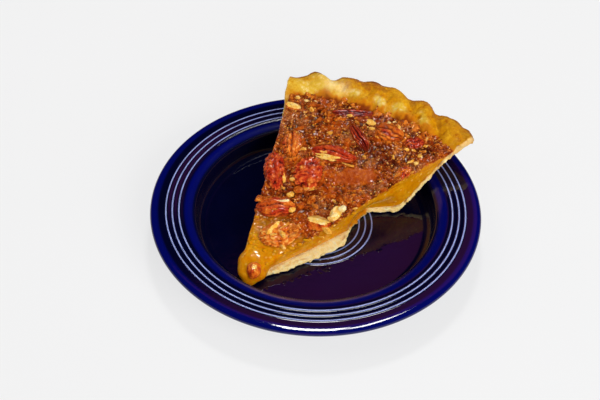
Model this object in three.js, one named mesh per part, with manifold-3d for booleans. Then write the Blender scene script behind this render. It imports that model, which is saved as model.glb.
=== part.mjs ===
// A slice of pecan pie on its small ringed plate.
//
// Millimetres, +Z up. The origin is the centre of the plate's foot, where it stands.
// The slice points towards -Y and its rim of pastry is towards +Y.
import * as THREE from 'three';
import { mergeVertices } from 'three/addons/utils/BufferGeometryUtils.js';
import Module from 'manifold-3d';

const wasm = await Module();
wasm.setup();

// ---------------------------------------------------------------- driving dimensions
const GAP = 0.3;                    // clearance between two pieces that touch

const PLATE = {
  radius: 78,                       // outer edge
  rimHeight: 16.4,                  // top of the rim above the table
  lipRadius: 2.0,                   // half of the rim's thickness at its edge
  shoulderRadius: 62.6,             // where the rim turns down into the well
  wellRadius: 54.5,                 // flat floor of the well
  wellHeight: 6.6,                  // top of the well's floor
  floorThickness: 4.4,
  footInner: 44.4,
  footOuter: 49.2,
  rimRings: [64.4, 67.5, 70.5],     // raised rings on the rim
  wellRings: [20.8, 23.8, 26.8],    // raised rings in the well
  ringHeight: 0.4,
  ringHalfWidth: 0.9,
  segments: 48,
};

const SLICE = {
  tip: new THREE.Vector2(-5.7, -59.0),      // where the two knife cuts would meet
  halfAngle: THREE.MathUtils.degToRad(21.45),
  reach: 150,                               // cuts run out past the rim
  bluntness: 15,                            // the pastry starts this far from the tip
};

const PIE = {
  centre: new THREE.Vector2(9.9, -48.9),    // centre of the whole pie's rim
  segmentsPerFlute: 4,
  flutes: 44,                               // finger crimps round the whole rim
  firstFlute: THREE.MathUtils.degToRad(-0.7),
  fluteReach: 1.1,                          // how far a crimp stands out
  fluteRise: 0.8,                           // how far a crimp stands up
  fluteSkew: THREE.MathUtils.degToRad(0.22),// lean of a crimp, for each mm of rim width
  fluteStart: 111,
  fluteFull: 122,
};

// The slice rests on the rings in the well.
const BASE = PLATE.ringHeight + GAP;

// The pastry's section: distance from the pie's centre, height above the well.
const PASTRY_OUTSIDE = [
  [0, BASE], [79, BASE], [82, 1.5], [88, 5.5], [96, 12.0], [104, 17.6], [110.5, 21.7],
  [117, 22.9], [123.0, 24.0], [125, 25.4], [124, 27.0], [120.5, 27.6], [116.5, 27.2],
];
const PASTRY_INSIDE = [
  [113, 25.4], [110, 23.3], [104, 19.8], [94, 13.2], [86, 7.0], [81.5, 4.2], [78, 3.5], [0, 3.5],
];

// Edge of the pastry along the right-hand cut: distance from the tip, and how far the
// pastry stands out of the cut (plus) or is broken away under the filling (minus).
const CRACK = [[65, 0], [69.5, -3.5], [80.5, -7.6], [87.5, -3.7], [94.5, 0]];
const BROKEN_EDGE = [[26, 2.0], [46, 4.2], [58.5, 4.2], ...CRACK];
const LEFT_EDGE = 1.2;                      // the pastry stands this far out of the left cut
const UNDERCUT_HEIGHT = 15;                 // the filling leans back in over the crack

// Height of the top above the well, by distance from the slice's tip.
const TOP_HEIGHT = [
  [0, 5.0], [12, 6.4], [16, 7.8], [25, 9.8], [34, 11.2], [47, 12.2], [59, 14.2], [70, 17.2],
  [82, 19.8], [95, 21.4], [108, 22.8], [118, 23.0], [150, 23.6],
];
const TOP_SEGMENTS = 60;

const NUT_LAYER = { start: 29, thickness: 3.0 };
const NOSE = { x: -3.8, y: -46.2, z: 4.5, radiusX: 7.4, radiusY: 8.2, radiusZ: 4.1 };

// Large nut pieces: place in the plan, heading and size. A nut is sunk in the nut layer.
const NUT_SINK = 1.7;
const NUT_SEGMENTS = 10;
const NUT_RINGS = 6;
const NUTS = {
  pecan_01: { x: -26.2, y: 3.8, heading: -53, length: 20.5, width: 10.5, rise: 3.2 },
  pecan_02: { x: -12.0, y: 10.6, heading: -56, length: 17.7, width: 14.2, rise: 3.4 },
  pecan_03: { x: -7.4, y: 25.8, heading: 15, length: 21.6, width: 11.0, rise: 3.4 },
  pecan_04: { x: 8.2, y: 51.2, heading: 2, length: 15.5, width: 10.4, rise: 3.0 },
  pecan_05: { x: -2.3, y: 41.0, heading: -31, length: 18.6, width: 6.0, rise: 2.6 },
  pecan_06: { x: -14.0, y: -12.6, heading: 32, length: 18.4, width: 11.6, rise: 3.4 },
  pecan_07: { x: -3.1, y: -24.4, heading: 46, length: 18.6, width: 14.2, rise: 3.0 },
  pecan_08: { x: 8.0, y: -9.8, heading: 20, length: 12.6, width: 10.2, rise: 2.6 },
  pecan_09: { x: 11.8, y: 1.0, heading: -61, length: 10.6, width: 8.0, rise: 3.0 },
  pecan_10: { x: -40.6, y: 41.0, heading: 23, length: 7.4, width: 6.2, rise: 2.2 },
  pecan_11: { x: -27.0, y: 20.6, heading: -61, length: 14.2, width: 10.0, rise: 2.8 },
  pecan_12: { x: -13.6, y: 53.4, heading: 31, length: 24.0, width: 6.6, rise: 2.6 },
  pecan_13: { x: 22.2, y: 52.0, heading: 42, length: 10.2, width: 9.0, rise: 2.6 },
  pecan_14: { x: 27.4, y: 33.8, heading: 64, length: 9.4, width: 7.6, rise: 2.2 },
  pecan_tip: { x: -2.6, y: -45.6, heading: 19, length: 7.8, width: 6.6, rise: 2.2 },
};

const COLOURS = {
  glaze: 0x0a0f3c, pastry: 0xdca544, filling: 0xb87410, nutLayer: 0x8b3d12, nut: 0xa84a1c,
};

// ---------------------------------------------------------------- solids
// A closed geometry as a solid that can be joined and cut.
function solid(geometry) {
  const bare = geometry.clone();
  bare.deleteAttribute('normal');
  bare.deleteAttribute('uv');
  const merged = mergeVertices(bare, 1e-4);
  const index = merged.index.array;
  const triangles = [];
  for (let i = 0; i < index.length; i += 3) {
    const [a, b, c] = [index[i], index[i + 1], index[i + 2]];
    if (a !== b && b !== c && c !== a) triangles.push(a, b, c);
  }
  return new wasm.Manifold(new wasm.Mesh({
    numProp: 3,
    vertProperties: new Float32Array(merged.attributes.position.array),
    triVerts: new Uint32Array(triangles),
  }));
}

function geometryOf(body) {
  const mesh = body.getMesh();
  const geometry = new THREE.BufferGeometry();
  geometry.setAttribute('position', new THREE.BufferAttribute(mesh.vertProperties, 3));
  geometry.setIndex(new THREE.BufferAttribute(mesh.triVerts, 1));
  geometry.computeVertexNormals();
  return geometry;
}

// A profile of [distance from the axis, height] points turned round the Z axis.
function turned(profile, segments) {
  const points = profile.map(([radius, height]) => new THREE.Vector2(radius, height));
  const geometry = new THREE.LatheGeometry(points, segments);
  geometry.rotateX(Math.PI / 2);
  return geometry;
}

function moveEachVertex(geometry, move) {
  const positions = geometry.attributes.position;
  const vertex = new THREE.Vector3();
  for (let i = 0; i < positions.count; i += 1) {
    vertex.fromBufferAttribute(positions, i);
    move(vertex);
    positions.setXYZ(i, vertex.x, vertex.y, vertex.z);
  }
  return geometry;
}

// Height read off a list of [distance, height] points.
function heightAt(list, distance) {
  const last = list.findIndex(([reach]) => reach >= distance);
  if (last < 0) return list.at(-1)[1];
  if (last === 0) return list[0][1];
  const [nearReach, nearHeight] = list[last - 1];
  const [farReach, farHeight] = list[last];
  return THREE.MathUtils.mapLinear(distance, nearReach, farReach, nearHeight, farHeight);
}

// ---------------------------------------------------------------- plate
function ring(radius, height) {
  const { ringHalfWidth, ringHeight } = PLATE;
  return [[radius + ringHalfWidth, height], [radius, height + ringHeight], [radius - ringHalfWidth, height]];
}

function plateProfile() {
  const { radius, rimHeight, lipRadius, shoulderRadius, wellRadius, wellHeight } = PLATE;
  const underside = wellHeight - PLATE.floorThickness;
  const profile = [
    [0, underside], [PLATE.footInner - 1.4, underside], [PLATE.footInner, 0], [PLATE.footOuter, 0],
    [PLATE.footOuter + 1.2, 2.2], [wellRadius + 1.5, 3.8], [shoulderRadius, 8.4], [radius - 9, 11.0],
  ];
  for (let angle = -75; angle <= 90; angle += 33) {
    const turn = THREE.MathUtils.degToRad(angle);
    const out = radius - lipRadius + lipRadius * Math.cos(turn);
    profile.push([out, rimHeight - lipRadius + lipRadius * Math.sin(turn)]);
  }
  for (const ringRadius of PLATE.rimRings.toReversed()) profile.push(...ring(ringRadius, rimHeight - 0.1));
  profile.push(
    [shoulderRadius, rimHeight - 0.7], [shoulderRadius - 2, rimHeight - 2.3],
    [wellRadius + 3, wellHeight + 2.0], [wellRadius + 1, wellHeight + 0.5], [wellRadius - 1, wellHeight],
  );
  for (const ringRadius of PLATE.wellRings.toReversed()) profile.push(...ring(ringRadius, wellHeight));
  profile.push([0, wellHeight]);
  return profile;
}

// ---------------------------------------------------------------- pie
function fluted(vertex) {
  const distance = Math.hypot(vertex.x, vertex.y);
  const weight = THREE.MathUtils.smoothstep(distance, PIE.fluteStart, PIE.fluteFull);
  if (weight === 0) return;
  const lean = PIE.fluteSkew * (distance - PIE.fluteFull);
  const angle = Math.atan2(vertex.x, vertex.y) - PIE.firstFlute + lean;
  const crimp = weight * Math.cos(PIE.flutes * angle);
  vertex.x *= 1 + (PIE.fluteReach * crimp) / distance;
  vertex.y *= 1 + (PIE.fluteReach * crimp) / distance;
  vertex.z += PIE.fluteRise * crimp;
}

function aroundPie(geometry) {
  geometry.translate(PIE.centre.x, PIE.centre.y, PLATE.wellHeight);
  return solid(geometry);
}

function aroundTip(profile) {
  const geometry = turned(profile, TOP_SEGMENTS);
  geometry.translate(SLICE.tip.x, SLICE.tip.y, PLATE.wellHeight);
  return solid(geometry);
}

// A point on a cut, by its distance from the tip and how far it stands out of the cut.
function onCut(side, distance, out = 0) {
  const { tip, halfAngle } = SLICE;
  return new THREE.Vector2(
    tip.x + side * (distance * Math.sin(halfAngle) + out * Math.cos(halfAngle)),
    tip.y + distance * Math.cos(halfAngle) - out * Math.sin(halfAngle),
  );
}

function prism(outline) {
  const height = 60;
  const geometry = new THREE.ExtrudeGeometry(new THREE.Shape(outline), { depth: height, bevelEnabled: false });
  return solid(geometry);
}

function wedge(rightEdge, leftOut) {
  const outline = [onCut(1, SLICE.bluntness)];
  for (const [distance, out] of rightEdge) outline.push(onCut(1, distance, out));
  outline.push(onCut(1, SLICE.reach), onCut(-1, SLICE.reach, leftOut), onCut(-1, SLICE.bluntness));
  return prism(outline);
}

// The hollow under the right-hand cut: as deep as the crack at the bottom, closing upwards.
function undercut() {
  const clear = 1;
  const outline = CRACK.map(([distance, out]) => onCut(1, distance, out));
  const [first, last] = [CRACK[0][0], CRACK.at(-1)[0]];
  outline.push(onCut(1, last, clear), onCut(1, first, clear));
  const height = UNDERCUT_HEIGHT + PLATE.wellHeight;
  const shape = new THREE.Shape(outline);
  const geometry = new THREE.ExtrudeGeometry(shape, { depth: height, bevelEnabled: false });
  const outwards = onCut(1, 0, 1).sub(SLICE.tip);
  moveEachVertex(geometry, (vertex) => {
    const out = (vertex.x - SLICE.tip.x) * outwards.x + (vertex.y - SLICE.tip.y) * outwards.y;
    if (vertex.z < height / 2 || out > clear / 2) return;
    vertex.x += outwards.x * (clear / 2 - out);
    vertex.y += outwards.y * (clear / 2 - out);
  });
  return solid(geometry);
}

// The room inside the pastry, clear of it by a gap, up past the top of the slice.
function pastryRoom() {
  const lift = GAP * 1.35;
  const wall = PASTRY_INSIDE.toReversed().map(([distance, height]) => [distance, height + lift]);
  const [edge] = wall.at(-1);
  return aroundPie(turned([...wall, [edge, 50], [0, 50]], PIE.flutes * PIE.segmentsPerFlute));
}

function underTop(lowered) {
  const reach = SLICE.reach;
  const surface = TOP_HEIGHT.map(([distance, height]) => [distance, height - lowered]);
  return aroundTip([[0, -4], [reach, -4], ...surface.toReversed()]);
}

// A band under the top, from a start distance outwards.
function topBand(start, above, below) {
  const distances = [start, ...TOP_HEIGHT.map(([distance]) => distance).filter((d) => d > start + 2)];
  const bottom = distances.map((d) => [d, heightAt(TOP_HEIGHT, d) - below]);
  const top = distances.toReversed().map((d) => [d, heightAt(TOP_HEIGHT, d) + above]);
  return aroundTip([...bottom, ...top, bottom[0]]);
}

function crustSolid() {
  const section = [...PASTRY_OUTSIDE, ...PASTRY_INSIDE];
  const whole = moveEachVertex(turned(section, PIE.flutes * PIE.segmentsPerFlute), fluted);
  return aroundPie(whole).intersect(wedge(BROKEN_EDGE, LEFT_EDGE));
}

function noseSolid() {
  const geometry = new THREE.SphereGeometry(1, 16, 10);
  geometry.scale(NOSE.radiusX, NOSE.radiusY, NOSE.radiusZ);
  geometry.translate(NOSE.x, NOSE.y, PLATE.wellHeight + NOSE.z);
  return solid(geometry);
}

// The nose hangs over the pastry's blunt point, so the point is cut out of it with a gap.
function noseRoom() {
  const outline = [onCut(1, SLICE.bluntness - 1, 0.6), onCut(1, 45, 8), onCut(-1, 45, 8)];
  outline.push(onCut(-1, SLICE.bluntness - 1, 0.6));
  const room = prism(outline);
  const underFilling = solid(new THREE.BoxGeometry(200, 200, 10).translate(
    0, 0, PLATE.wellHeight + PASTRY_INSIDE.at(-1)[1] + GAP - 5,
  ));
  return room.intersect(underFilling);
}

function nutGeometry(size, grow = 0) {
  const geometry = new THREE.SphereGeometry(1, NUT_SEGMENTS, NUT_RINGS);
  geometry.rotateY(Math.PI / 2);
  moveEachVertex(geometry, (vertex) => {
    const towardsEnd = Math.abs(vertex.x);
    const groove = Math.exp(-((vertex.y / 0.22) ** 2)) * (1 - towardsEnd * 0.6);
    if (vertex.z > 0) vertex.z *= 1 - 0.28 * groove;
    vertex.y *= 1 - 0.12 * vertex.x;
  });
  const up = size.rise + grow;
  const down = NUT_SINK + grow;
  moveEachVertex(geometry, (vertex) => {
    vertex.x *= size.length / 2 + grow;
    vertex.y *= size.width / 2 + grow;
    vertex.z *= vertex.z > 0 ? up : down;
  });
  const distance = Math.hypot(size.x - SLICE.tip.x, size.y - SLICE.tip.y);
  const rise = heightAt(TOP_HEIGHT, distance + 5) - heightAt(TOP_HEIGHT, distance - 5);
  geometry.rotateZ(THREE.MathUtils.degToRad(size.heading));
  geometry.rotateX(Math.atan2(rise, 10));
  geometry.translate(size.x, size.y, PLATE.wellHeight + heightAt(TOP_HEIGHT, distance));
  return geometry;
}

// ---------------------------------------------------------------- the group
const object = new THREE.Group();

function addPiece(name, body, colour, roughness) {
  const material = new THREE.MeshStandardMaterial({ color: colour, roughness, metalness: 0 });
  const mesh = new THREE.Mesh(geometryOf(body), material);
  mesh.name = name;
  object.add(mesh);
}

const room = pastryRoom();
const layerSpace = room.intersect(wedge([], 0));
const nutPieces = Object.entries(NUTS);
const withNutPockets = (body) => nutPieces.reduce(
  (left, [, size]) => left.subtract(solid(nutGeometry(size, GAP))),
  body,
);
const nutLayer = layerSpace.intersect(topBand(NUT_LAYER.start, 0, NUT_LAYER.thickness));
const filling = layerSpace
  .intersect(underTop(0))
  .subtract(topBand(NUT_LAYER.start - GAP, 5, NUT_LAYER.thickness + GAP))
  .subtract(undercut())
  .add(noseSolid().subtract(noseRoom()));

addPiece('plate', solid(turned(plateProfile(), PLATE.segments)), COLOURS.glaze, 0.08);
addPiece('crust', crustSolid(), COLOURS.pastry, 0.75);
addPiece('filling', withNutPockets(filling), COLOURS.filling, 0.25);
addPiece('nut_layer', withNutPockets(nutLayer), COLOURS.nutLayer, 0.35);
for (const [name, size] of nutPieces) {
  addPiece(name, solid(nutGeometry(size)).intersect(room), COLOURS.nut, 0.35);
}

export default object;
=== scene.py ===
"""The looks of a slice of pecan pie on its ringed side plate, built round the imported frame."""
import math

import bpy
import numpy as np
from mathutils import Matrix, Quaternion, Vector


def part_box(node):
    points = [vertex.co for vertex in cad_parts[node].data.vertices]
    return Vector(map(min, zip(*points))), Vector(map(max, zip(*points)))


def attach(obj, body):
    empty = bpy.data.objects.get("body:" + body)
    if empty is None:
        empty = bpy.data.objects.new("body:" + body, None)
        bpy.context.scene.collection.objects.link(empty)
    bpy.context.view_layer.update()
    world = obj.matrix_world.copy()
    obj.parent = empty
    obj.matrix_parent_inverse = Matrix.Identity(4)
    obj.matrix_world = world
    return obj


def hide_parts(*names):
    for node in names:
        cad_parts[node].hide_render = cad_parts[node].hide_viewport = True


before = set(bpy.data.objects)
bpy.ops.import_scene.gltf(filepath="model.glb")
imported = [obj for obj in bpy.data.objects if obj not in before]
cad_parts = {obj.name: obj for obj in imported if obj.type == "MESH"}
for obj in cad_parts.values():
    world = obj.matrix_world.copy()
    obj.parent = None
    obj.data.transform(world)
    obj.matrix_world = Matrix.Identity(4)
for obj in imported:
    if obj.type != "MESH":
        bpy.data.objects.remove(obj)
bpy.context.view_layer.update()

# ---------------------------------------------------------------- sizes, in millimetres
MM = 0.001
BODY = "root"

PLATE_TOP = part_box("plate")[1]
PLATE_RADIUS = PLATE_TOP.x / MM
RIM_HEIGHT = PLATE_TOP.z / MM
SLICE_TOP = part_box("crust")[1].z / MM
SHOULDER_RADIUS = 62.6
WELL_RADIUS = 54.5
WELL_HEIGHT = 6.6
FOOT_INNER = 44.4
FOOT_OUTER = 49.2
UNDERSIDE = 2.2
RIM_RINGS = (64.4, 67.5, 70.5)
WELL_RINGS = (20.8, 23.8, 26.8)
RING_HEIGHT = 0.16
RING_HALF_WIDTH = 0.85
RING_SLOPE = 0.14
PLATE_SEGMENTS = 192

# The lip's section, by arcs: the tilt in degrees at which each starts and ends, and its length.
LIP_ARCS = [(0, 4, 1.0), (4, 10, 1.1), (10, 100, 2.1), (100, 165, 1.8)]

# The wall's section: how far out and up from the shoulder's edge, and then from the well's edge.
SHOULDER_SECTION = [
    (0.3, 0), (-1.3, -0.03), (-1.5, -0.07), (-2.2, -0.28), (-2.9, -0.49), (-3.5, -0.68), (-4.3, -0.98),
    (-5.0, -1.24), (-5.7, -1.52), (-6.1, -2.2), (-6.4, -3.8),
]
WELL_SECTION = [(1.2, 3.2), (0.3, 1.3), (-0.9, 0.55), (-1.9, 0.18), (-2.4, 0.05), (-3.2, 0.01), (-4.6, 0)]

TIP = np.array([-5.7, -59.0])
HALF_ANGLE = math.radians(21.45)
BLUNTNESS = 15
PIE_CENTRE = np.array([9.9, -48.9])
BASE = 0.7
PIE_SEGMENTS = 440
CUTTER_HEIGHT = 60
PASTRY_FACE = 0.45
FILLING_FACE = 0.5
TOP_FACE = 0.45

# The pastry's section: distance from the pie's centre, height above the well.
PASTRY_OUTSIDE = [
    (1, BASE), (79, BASE), (82, 1.5), (88, 5.5), (96, 12.0), (104, 17.6), (110.5, 21.2),
    (117, 22.6), (122.4, 23.6), (124.4, 25.0), (124.0, 26.4), (121.3, 27.2), (118.0, 27.0),
]
PASTRY_INSIDE = [
    (113.5, 25.0), (110, 23.0), (104, 19.6), (94, 13.0), (86, 6.8), (81.5, 4.0), (78, 3.3), (1, 3.3),
]

# Finger crimps, by degrees about the pie's centre: how bold the rim is, and how deep each crease.
# They lean by so many degrees for each millimetre outwards.
CRIMP_LOBES = [
    (-45, 0), (-34, -1.5), (-31, -3.2), (-29, -3.4), (-27, -1.4), (-26, 0.9), (-25, 1.8), (-24, 1.1),
    (-22.5, -0.9), (-21, -2.3), (-20, -1.5), (-19, 0.7), (-17.5, 1.3), (-16, 2.3), (-14, 1.4), (-12, 2.5),
    (-11, 2.8), (-9.5, 2.0), (-8, 2.2), (-6.8, 3.0), (-6, 2.9), (-4.5, 1.0), (-3, -0.2), (-1.2, -0.3),
    (0, 1.4), (1.0, 2.8), (2.0, 2.5), (3.4, 0.9), (4.8, -1.0), (5.8, -1.0), (7.5, 0.2), (9.5, 1.0),
    (11, 1.4), (12.5, 0.6), (14, 0.4), (15.2, -0.9), (17, -3.6), (22, -4),
]
CRIMP_CREASES = [
    (-28.6, 0.5), (-21, 1.2), (-14, 1.2), (-9.4, 1.1), (-2.2, 1.6), (5.0, 2.4), (12.6, 1.0), (19, 0.9),
    (26, 0.6),
]
CRIMP_RADIUS = 124
CRIMP_LEAN = 0.45
CRIMP_REACH = 0.6
CRIMP_RISE = 0.42
CREASE_GENTLE_SIDE = 1.6
CREASE_SHARP_SIDE = 0.75

# The pastry along the right-hand cut: distance from the tip, how far it stands out of the cut.
RIGHT_EDGE = [
    (15, 0.0), (26, 2.0), (46, 4.2), (58.5, 4.2), (65, 0), (69.5, -3.5), (80.5, -7.6), (87.5, -3.7),
    (94.5, 0),
]
CUT_REACH = 150
LEFT_STANDS_OUT = 1.0
UNDERCUT_HEIGHT = 15

# Height of the top above the well, by distance from the tip.
TOP_HEIGHT = [
    (0, 5.0), (12, 6.4), (16, 7.8), (25, 9.8), (34, 11.2), (47, 12.2), (59, 14.2), (70, 17.2),
    (82, 19.8), (95, 21.4), (108, 22.8), (118, 23.0), (150, 23.6),
]
NUT_LAYER_START = 29
NUT_LAYER_THICKNESS = 3.0
CLEAR = 0.3

# How far from the pie's centre the filling, the nut layer and the loose pieces reach.
FILLING_REACH = 105.5
NUT_LAYER_REACH = 113.2
SEATS_REACH = 112.5
SEATS_START = NUT_LAYER_START + 8

# The patch of the top where the syrup set smooth: centre, half length, half width and heading.
CALM_PATCH = ((8.5, 21), 12, 5.5, 35)

random = np.random.default_rng(7)


# ---------------------------------------------------------------- small tools
def deselect():
    """Nothing is selected, and no piece is being edited."""
    if bpy.context.object and bpy.context.object.mode != "OBJECT":
        bpy.ops.object.mode_set(mode="OBJECT")
    bpy.ops.object.select_all(action="DESELECT")


def named(name):
    """The primitive that was just added, under its piece's name."""
    piece = bpy.context.object
    piece.name = piece.data.name = name
    return piece


def points(piece):
    """The piece's vertices, in millimetres."""
    numbers = np.zeros(len(piece.data.vertices) * 3)
    piece.data.vertices.foreach_get("co", numbers)
    return numbers.reshape(-1, 3) / MM


def move_to(piece, places):
    """Puts the piece's vertices at these places, in millimetres."""
    piece.data.vertices.foreach_set("co", (np.asarray(places) * MM).ravel())
    piece.data.update()


def normals(piece):
    """Each vertex's normal."""
    numbers = np.zeros(len(piece.data.vertices) * 3)
    piece.data.vertex_normals.foreach_get("vector", numbers)
    return numbers.reshape(-1, 3)


def finish_with(piece, kind, **settings):
    """Adds a modifier with these settings and applies it."""
    deselect()
    bpy.context.view_layer.objects.active = piece
    modifier = piece.modifiers.new(kind, kind)
    for key, value in settings.items():
        setattr(modifier, key, value)
    bpy.ops.object.modifier_apply(modifier=modifier.name)


def remesh(piece, size, smoothing):
    """An even skin of small faces, with its corners softened."""
    finish_with(piece, "REMESH", mode="VOXEL", voxel_size=size * MM)
    if smoothing:
        finish_with(piece, "SMOOTH", factor=0.5, iterations=smoothing)


def close_up(piece):
    """Doubles are merged and the faces are turned outwards."""
    deselect()
    bpy.context.view_layer.objects.active = piece
    bpy.ops.object.mode_set(mode="EDIT")
    bpy.ops.mesh.select_all(action="SELECT")
    bpy.ops.mesh.remove_doubles(threshold=0.001 * MM)
    bpy.ops.mesh.normals_make_consistent(inside=False)
    bpy.ops.object.mode_set(mode="OBJECT")


def mark(piece, name, values):
    """A number from 0 to 1 on each vertex, which the piece's material reads."""
    layer = piece.data.attributes.new(name, "FLOAT", "POINT")
    layer.data.foreach_set("value", np.clip(values, 0, 1).astype(np.float32))


def dress(piece, material, slot, *nodes):
    """The finished piece gets its material, its body and the nodes that it stands for."""
    piece.data.shade_smooth()
    piece.data.materials.clear()
    piece.data.materials.append(material)
    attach(piece, BODY)
    if nodes:
        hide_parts(*nodes)


def read_off(table, distance):
    """A height, or another second value, read off a list of pairs."""
    reach, value = zip(*table)
    return np.interp(distance, reach, value)


def ramp(value, low, high):
    """Rises smoothly from 0 at low to 1 at high."""
    t = np.clip((value - low) / (high - low), 0, 1)
    return t * t * (3 - 2 * t)


def hashed(cells, seed):
    """A steady number from 0 to 1 for each whole-numbered cell."""
    mixed = cells @ np.array([73856093, 19349663, 83492791]) + seed * 668265263
    mixed = (mixed ^ (mixed >> 13)) * 1274126177
    mixed = mixed ^ (mixed >> 16)
    return (mixed & 0xFFFFFF) / float(0xFFFFFF)


def bumpy(places, size, seed):
    """Soft noise from -1 to 1, with bumps of this size in millimetres."""
    scaled = np.asarray(places) / size
    turned = scaled @ np.array([[0.80, 0.36, -0.48], [-0.60, 0.48, -0.64], [0.0, 0.80, 0.60]])
    cell = np.floor(turned).astype(np.int64)
    part = turned - cell
    part = part * part * (3 - 2 * part)
    total = np.zeros(len(scaled))
    for corner in np.ndindex(2, 2, 2):
        weight = np.prod(np.where(corner, part, 1 - part), axis=1)
        total += weight * hashed(cell + np.array(corner), seed)
    return total * 2 - 1


def blistered(places, size, seed):
    """Round blisters from 0 to 1, one in each cell of this size in millimetres."""
    scaled = np.asarray(places) / size
    cell = np.floor(scaled).astype(np.int64)
    nearest = np.full(len(scaled), 9.0)
    for step in np.ndindex(3, 3, 3):
        other = cell + np.array(step) - 1
        seat = other + np.stack([hashed(other, seed + i) for i in range(3)], axis=1)
        nearest = np.minimum(nearest, np.linalg.norm(scaled - seat, axis=1))
    return np.clip(1 - nearest * 1.6, 0, 1)


def flat(places):
    """The places with their heights taken out."""
    level = np.zeros((len(places), 3))
    level[:, :2] = places[:, :2]
    return level


def turned_on_wheel(name, profile, segments):
    """A ring is drawn out along the profile of (distance, height), closed at both ends near the axis."""
    deselect()
    radius, height = profile[0]
    bpy.ops.mesh.primitive_circle_add(vertices=segments, radius=radius * MM, fill_type="NGON")
    piece = named(name)
    bpy.ops.object.mode_set(mode="EDIT")
    bpy.ops.mesh.select_all(action="SELECT")
    bpy.ops.transform.translate(value=(0, 0, height * MM))
    for next_radius, next_height in profile[1:]:
        rise = (next_height - height) * MM
        bpy.ops.mesh.extrude_region_move(TRANSFORM_OT_translate={"value": (0, 0, rise)})
        grow = next_radius / radius
        bpy.ops.transform.resize(value=(grow, grow, 1), center_override=(0, 0, 0))
        radius, height = next_radius, next_height
    bpy.ops.object.mode_set(mode="OBJECT")
    close_up(piece)
    return piece


def raised_slab(name, across, along, layers, place):
    """A grid is raised into a slab, and place(u, v, w) says where each of its points goes."""
    deselect()
    bpy.ops.mesh.primitive_grid_add(x_subdivisions=across, y_subdivisions=along, size=1)
    piece = named(name)
    bpy.ops.object.mode_set(mode="EDIT")
    bpy.ops.mesh.select_all(action="SELECT")
    for _ in range(layers):
        bpy.ops.mesh.extrude_region_move(TRANSFORM_OT_translate={"value": (0, 0, 1 / layers)})
    bpy.ops.object.mode_set(mode="OBJECT")
    grid = points(piece) * MM
    move_to(piece, place(grid[:, 0] + 0.5, grid[:, 1] + 0.5, grid[:, 2]))
    close_up(piece)
    return piece


def rounded_line(corners, steps):
    """A smooth line through the corners, with this many steps between two of them."""
    corners = [np.array(corner, float) for corner in corners]
    ends = [2 * corners[0] - corners[1], *corners, 2 * corners[-1] - corners[-2]]
    line = []
    for a, b, c, d in zip(ends, ends[1:], ends[2:], ends[3:]):
        for t in np.arange(steps) / steps:
            bend = (2 * a - 5 * b + 4 * c - d) * t**2 + (3 * b - a - 3 * c + d) * t**3
            line.append(0.5 * (2 * b + (c - a) * t + bend))
    return [tuple(p) for p in line] + [tuple(corners[-1])]


# ---------------------------------------------------------------- plate
def ring_rise(radius, rings):
    """How far the raised rings, and the slope up to each, lift the surface at a distance from the axis."""
    rise = 0.0
    for ring in rings:
        t = min(abs(radius - ring) / RING_HALF_WIDTH, 1)
        rise = max(rise, RING_HEIGHT * 0.5 * (1 + math.cos(math.pi * t)))
        slope = (radius - ring + 2.25) / 1.4
        if 0 < slope < 1.6:
            rise = max(rise, RING_SLOPE * min(slope, 1))
    return rise


def lip_line():
    """The lip's section from below, round its edge and onto the rim, by arcs of two tilts and a length."""
    place = np.zeros(2)
    line = [place]
    for first, last, length in LIP_ARCS:
        for share in (np.arange(8) + 0.5) / 8:
            tilt = math.radians(first + (last - first) * share)
            place = place + length / 8 * np.array([math.cos(tilt), -math.sin(tilt)])
            line.append(place)
    line = np.array(line[::-1])
    return [(radius, height) for radius, height in line + [PLATE_RADIUS - line[:, 0].max(), RIM_HEIGHT]]


def plate_profile():
    """The plate's whole section: foot, underside, lip, rim, wall and the floor of the well."""
    foot = [
        (1, UNDERSIDE), (30, UNDERSIDE), (FOOT_INNER - 1.4, UNDERSIDE), (FOOT_INNER - 0.5, 1.2),
        (FOOT_INNER + 0.2, 0.25), (FOOT_INNER + 0.9, 0.0), (FOOT_OUTER - 0.9, 0.0), (FOOT_OUTER - 0.2, 0.25),
        (FOOT_OUTER + 0.4, 1.1), (FOOT_OUTER + 1.2, 2.1),
    ]
    edge = lip_line()
    under = rounded_line([(50.4, 2.1), (56, 3.8), (62.6, 8.4), (69, 11.0), edge[0]], 8)
    rim = []
    for radius in np.arange(edge[-1][0] - 0.3, SHOULDER_RADIUS + 0.4, -0.2):
        rim.append((radius, RIM_HEIGHT + ring_rise(radius, RIM_RINGS)))
    wall = [(SHOULDER_RADIUS + out, RIM_HEIGHT + up) for out, up in SHOULDER_SECTION]
    wall += [(WELL_RADIUS + out, WELL_HEIGHT + up) for out, up in WELL_SECTION]
    wall = rounded_line(wall, 6)
    floor = [(44, WELL_HEIGHT), (36, WELL_HEIGHT)]
    for radius in np.arange(29, 18.9, -0.2):
        floor.append((radius, WELL_HEIGHT + ring_rise(radius, WELL_RINGS)))
    return foot + under[1:-1] + edge + rim + wall + floor + [(10, WELL_HEIGHT), (1, WELL_HEIGHT)]


def make_plate():
    plate = turned_on_wheel("glazed_plate", plate_profile(), PLATE_SEGMENTS)
    dress(plate, glazed_stoneware(), "glaze", "plate")


# ---------------------------------------------------------------- the slice's plan
def around(centre, places):
    """Distance from a centre in the plan, and the angle from +Y towards +X."""
    across = places[..., 0] - centre[0]
    along = places[..., 1] - centre[1]
    return np.hypot(across, along), np.arctan2(across, along)


def out_of_cut(places, side):
    """How far a place stands out of the right (+1) or left (-1) cut, and its distance along it."""
    local = places[..., :2] - TIP
    out = side * local[..., 0] * math.cos(HALF_ANGLE) - local[..., 1] * math.sin(HALF_ANGLE)
    along = side * local[..., 0] * math.sin(HALF_ANGLE) + local[..., 1] * math.cos(HALF_ANGLE)
    return out, along


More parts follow.
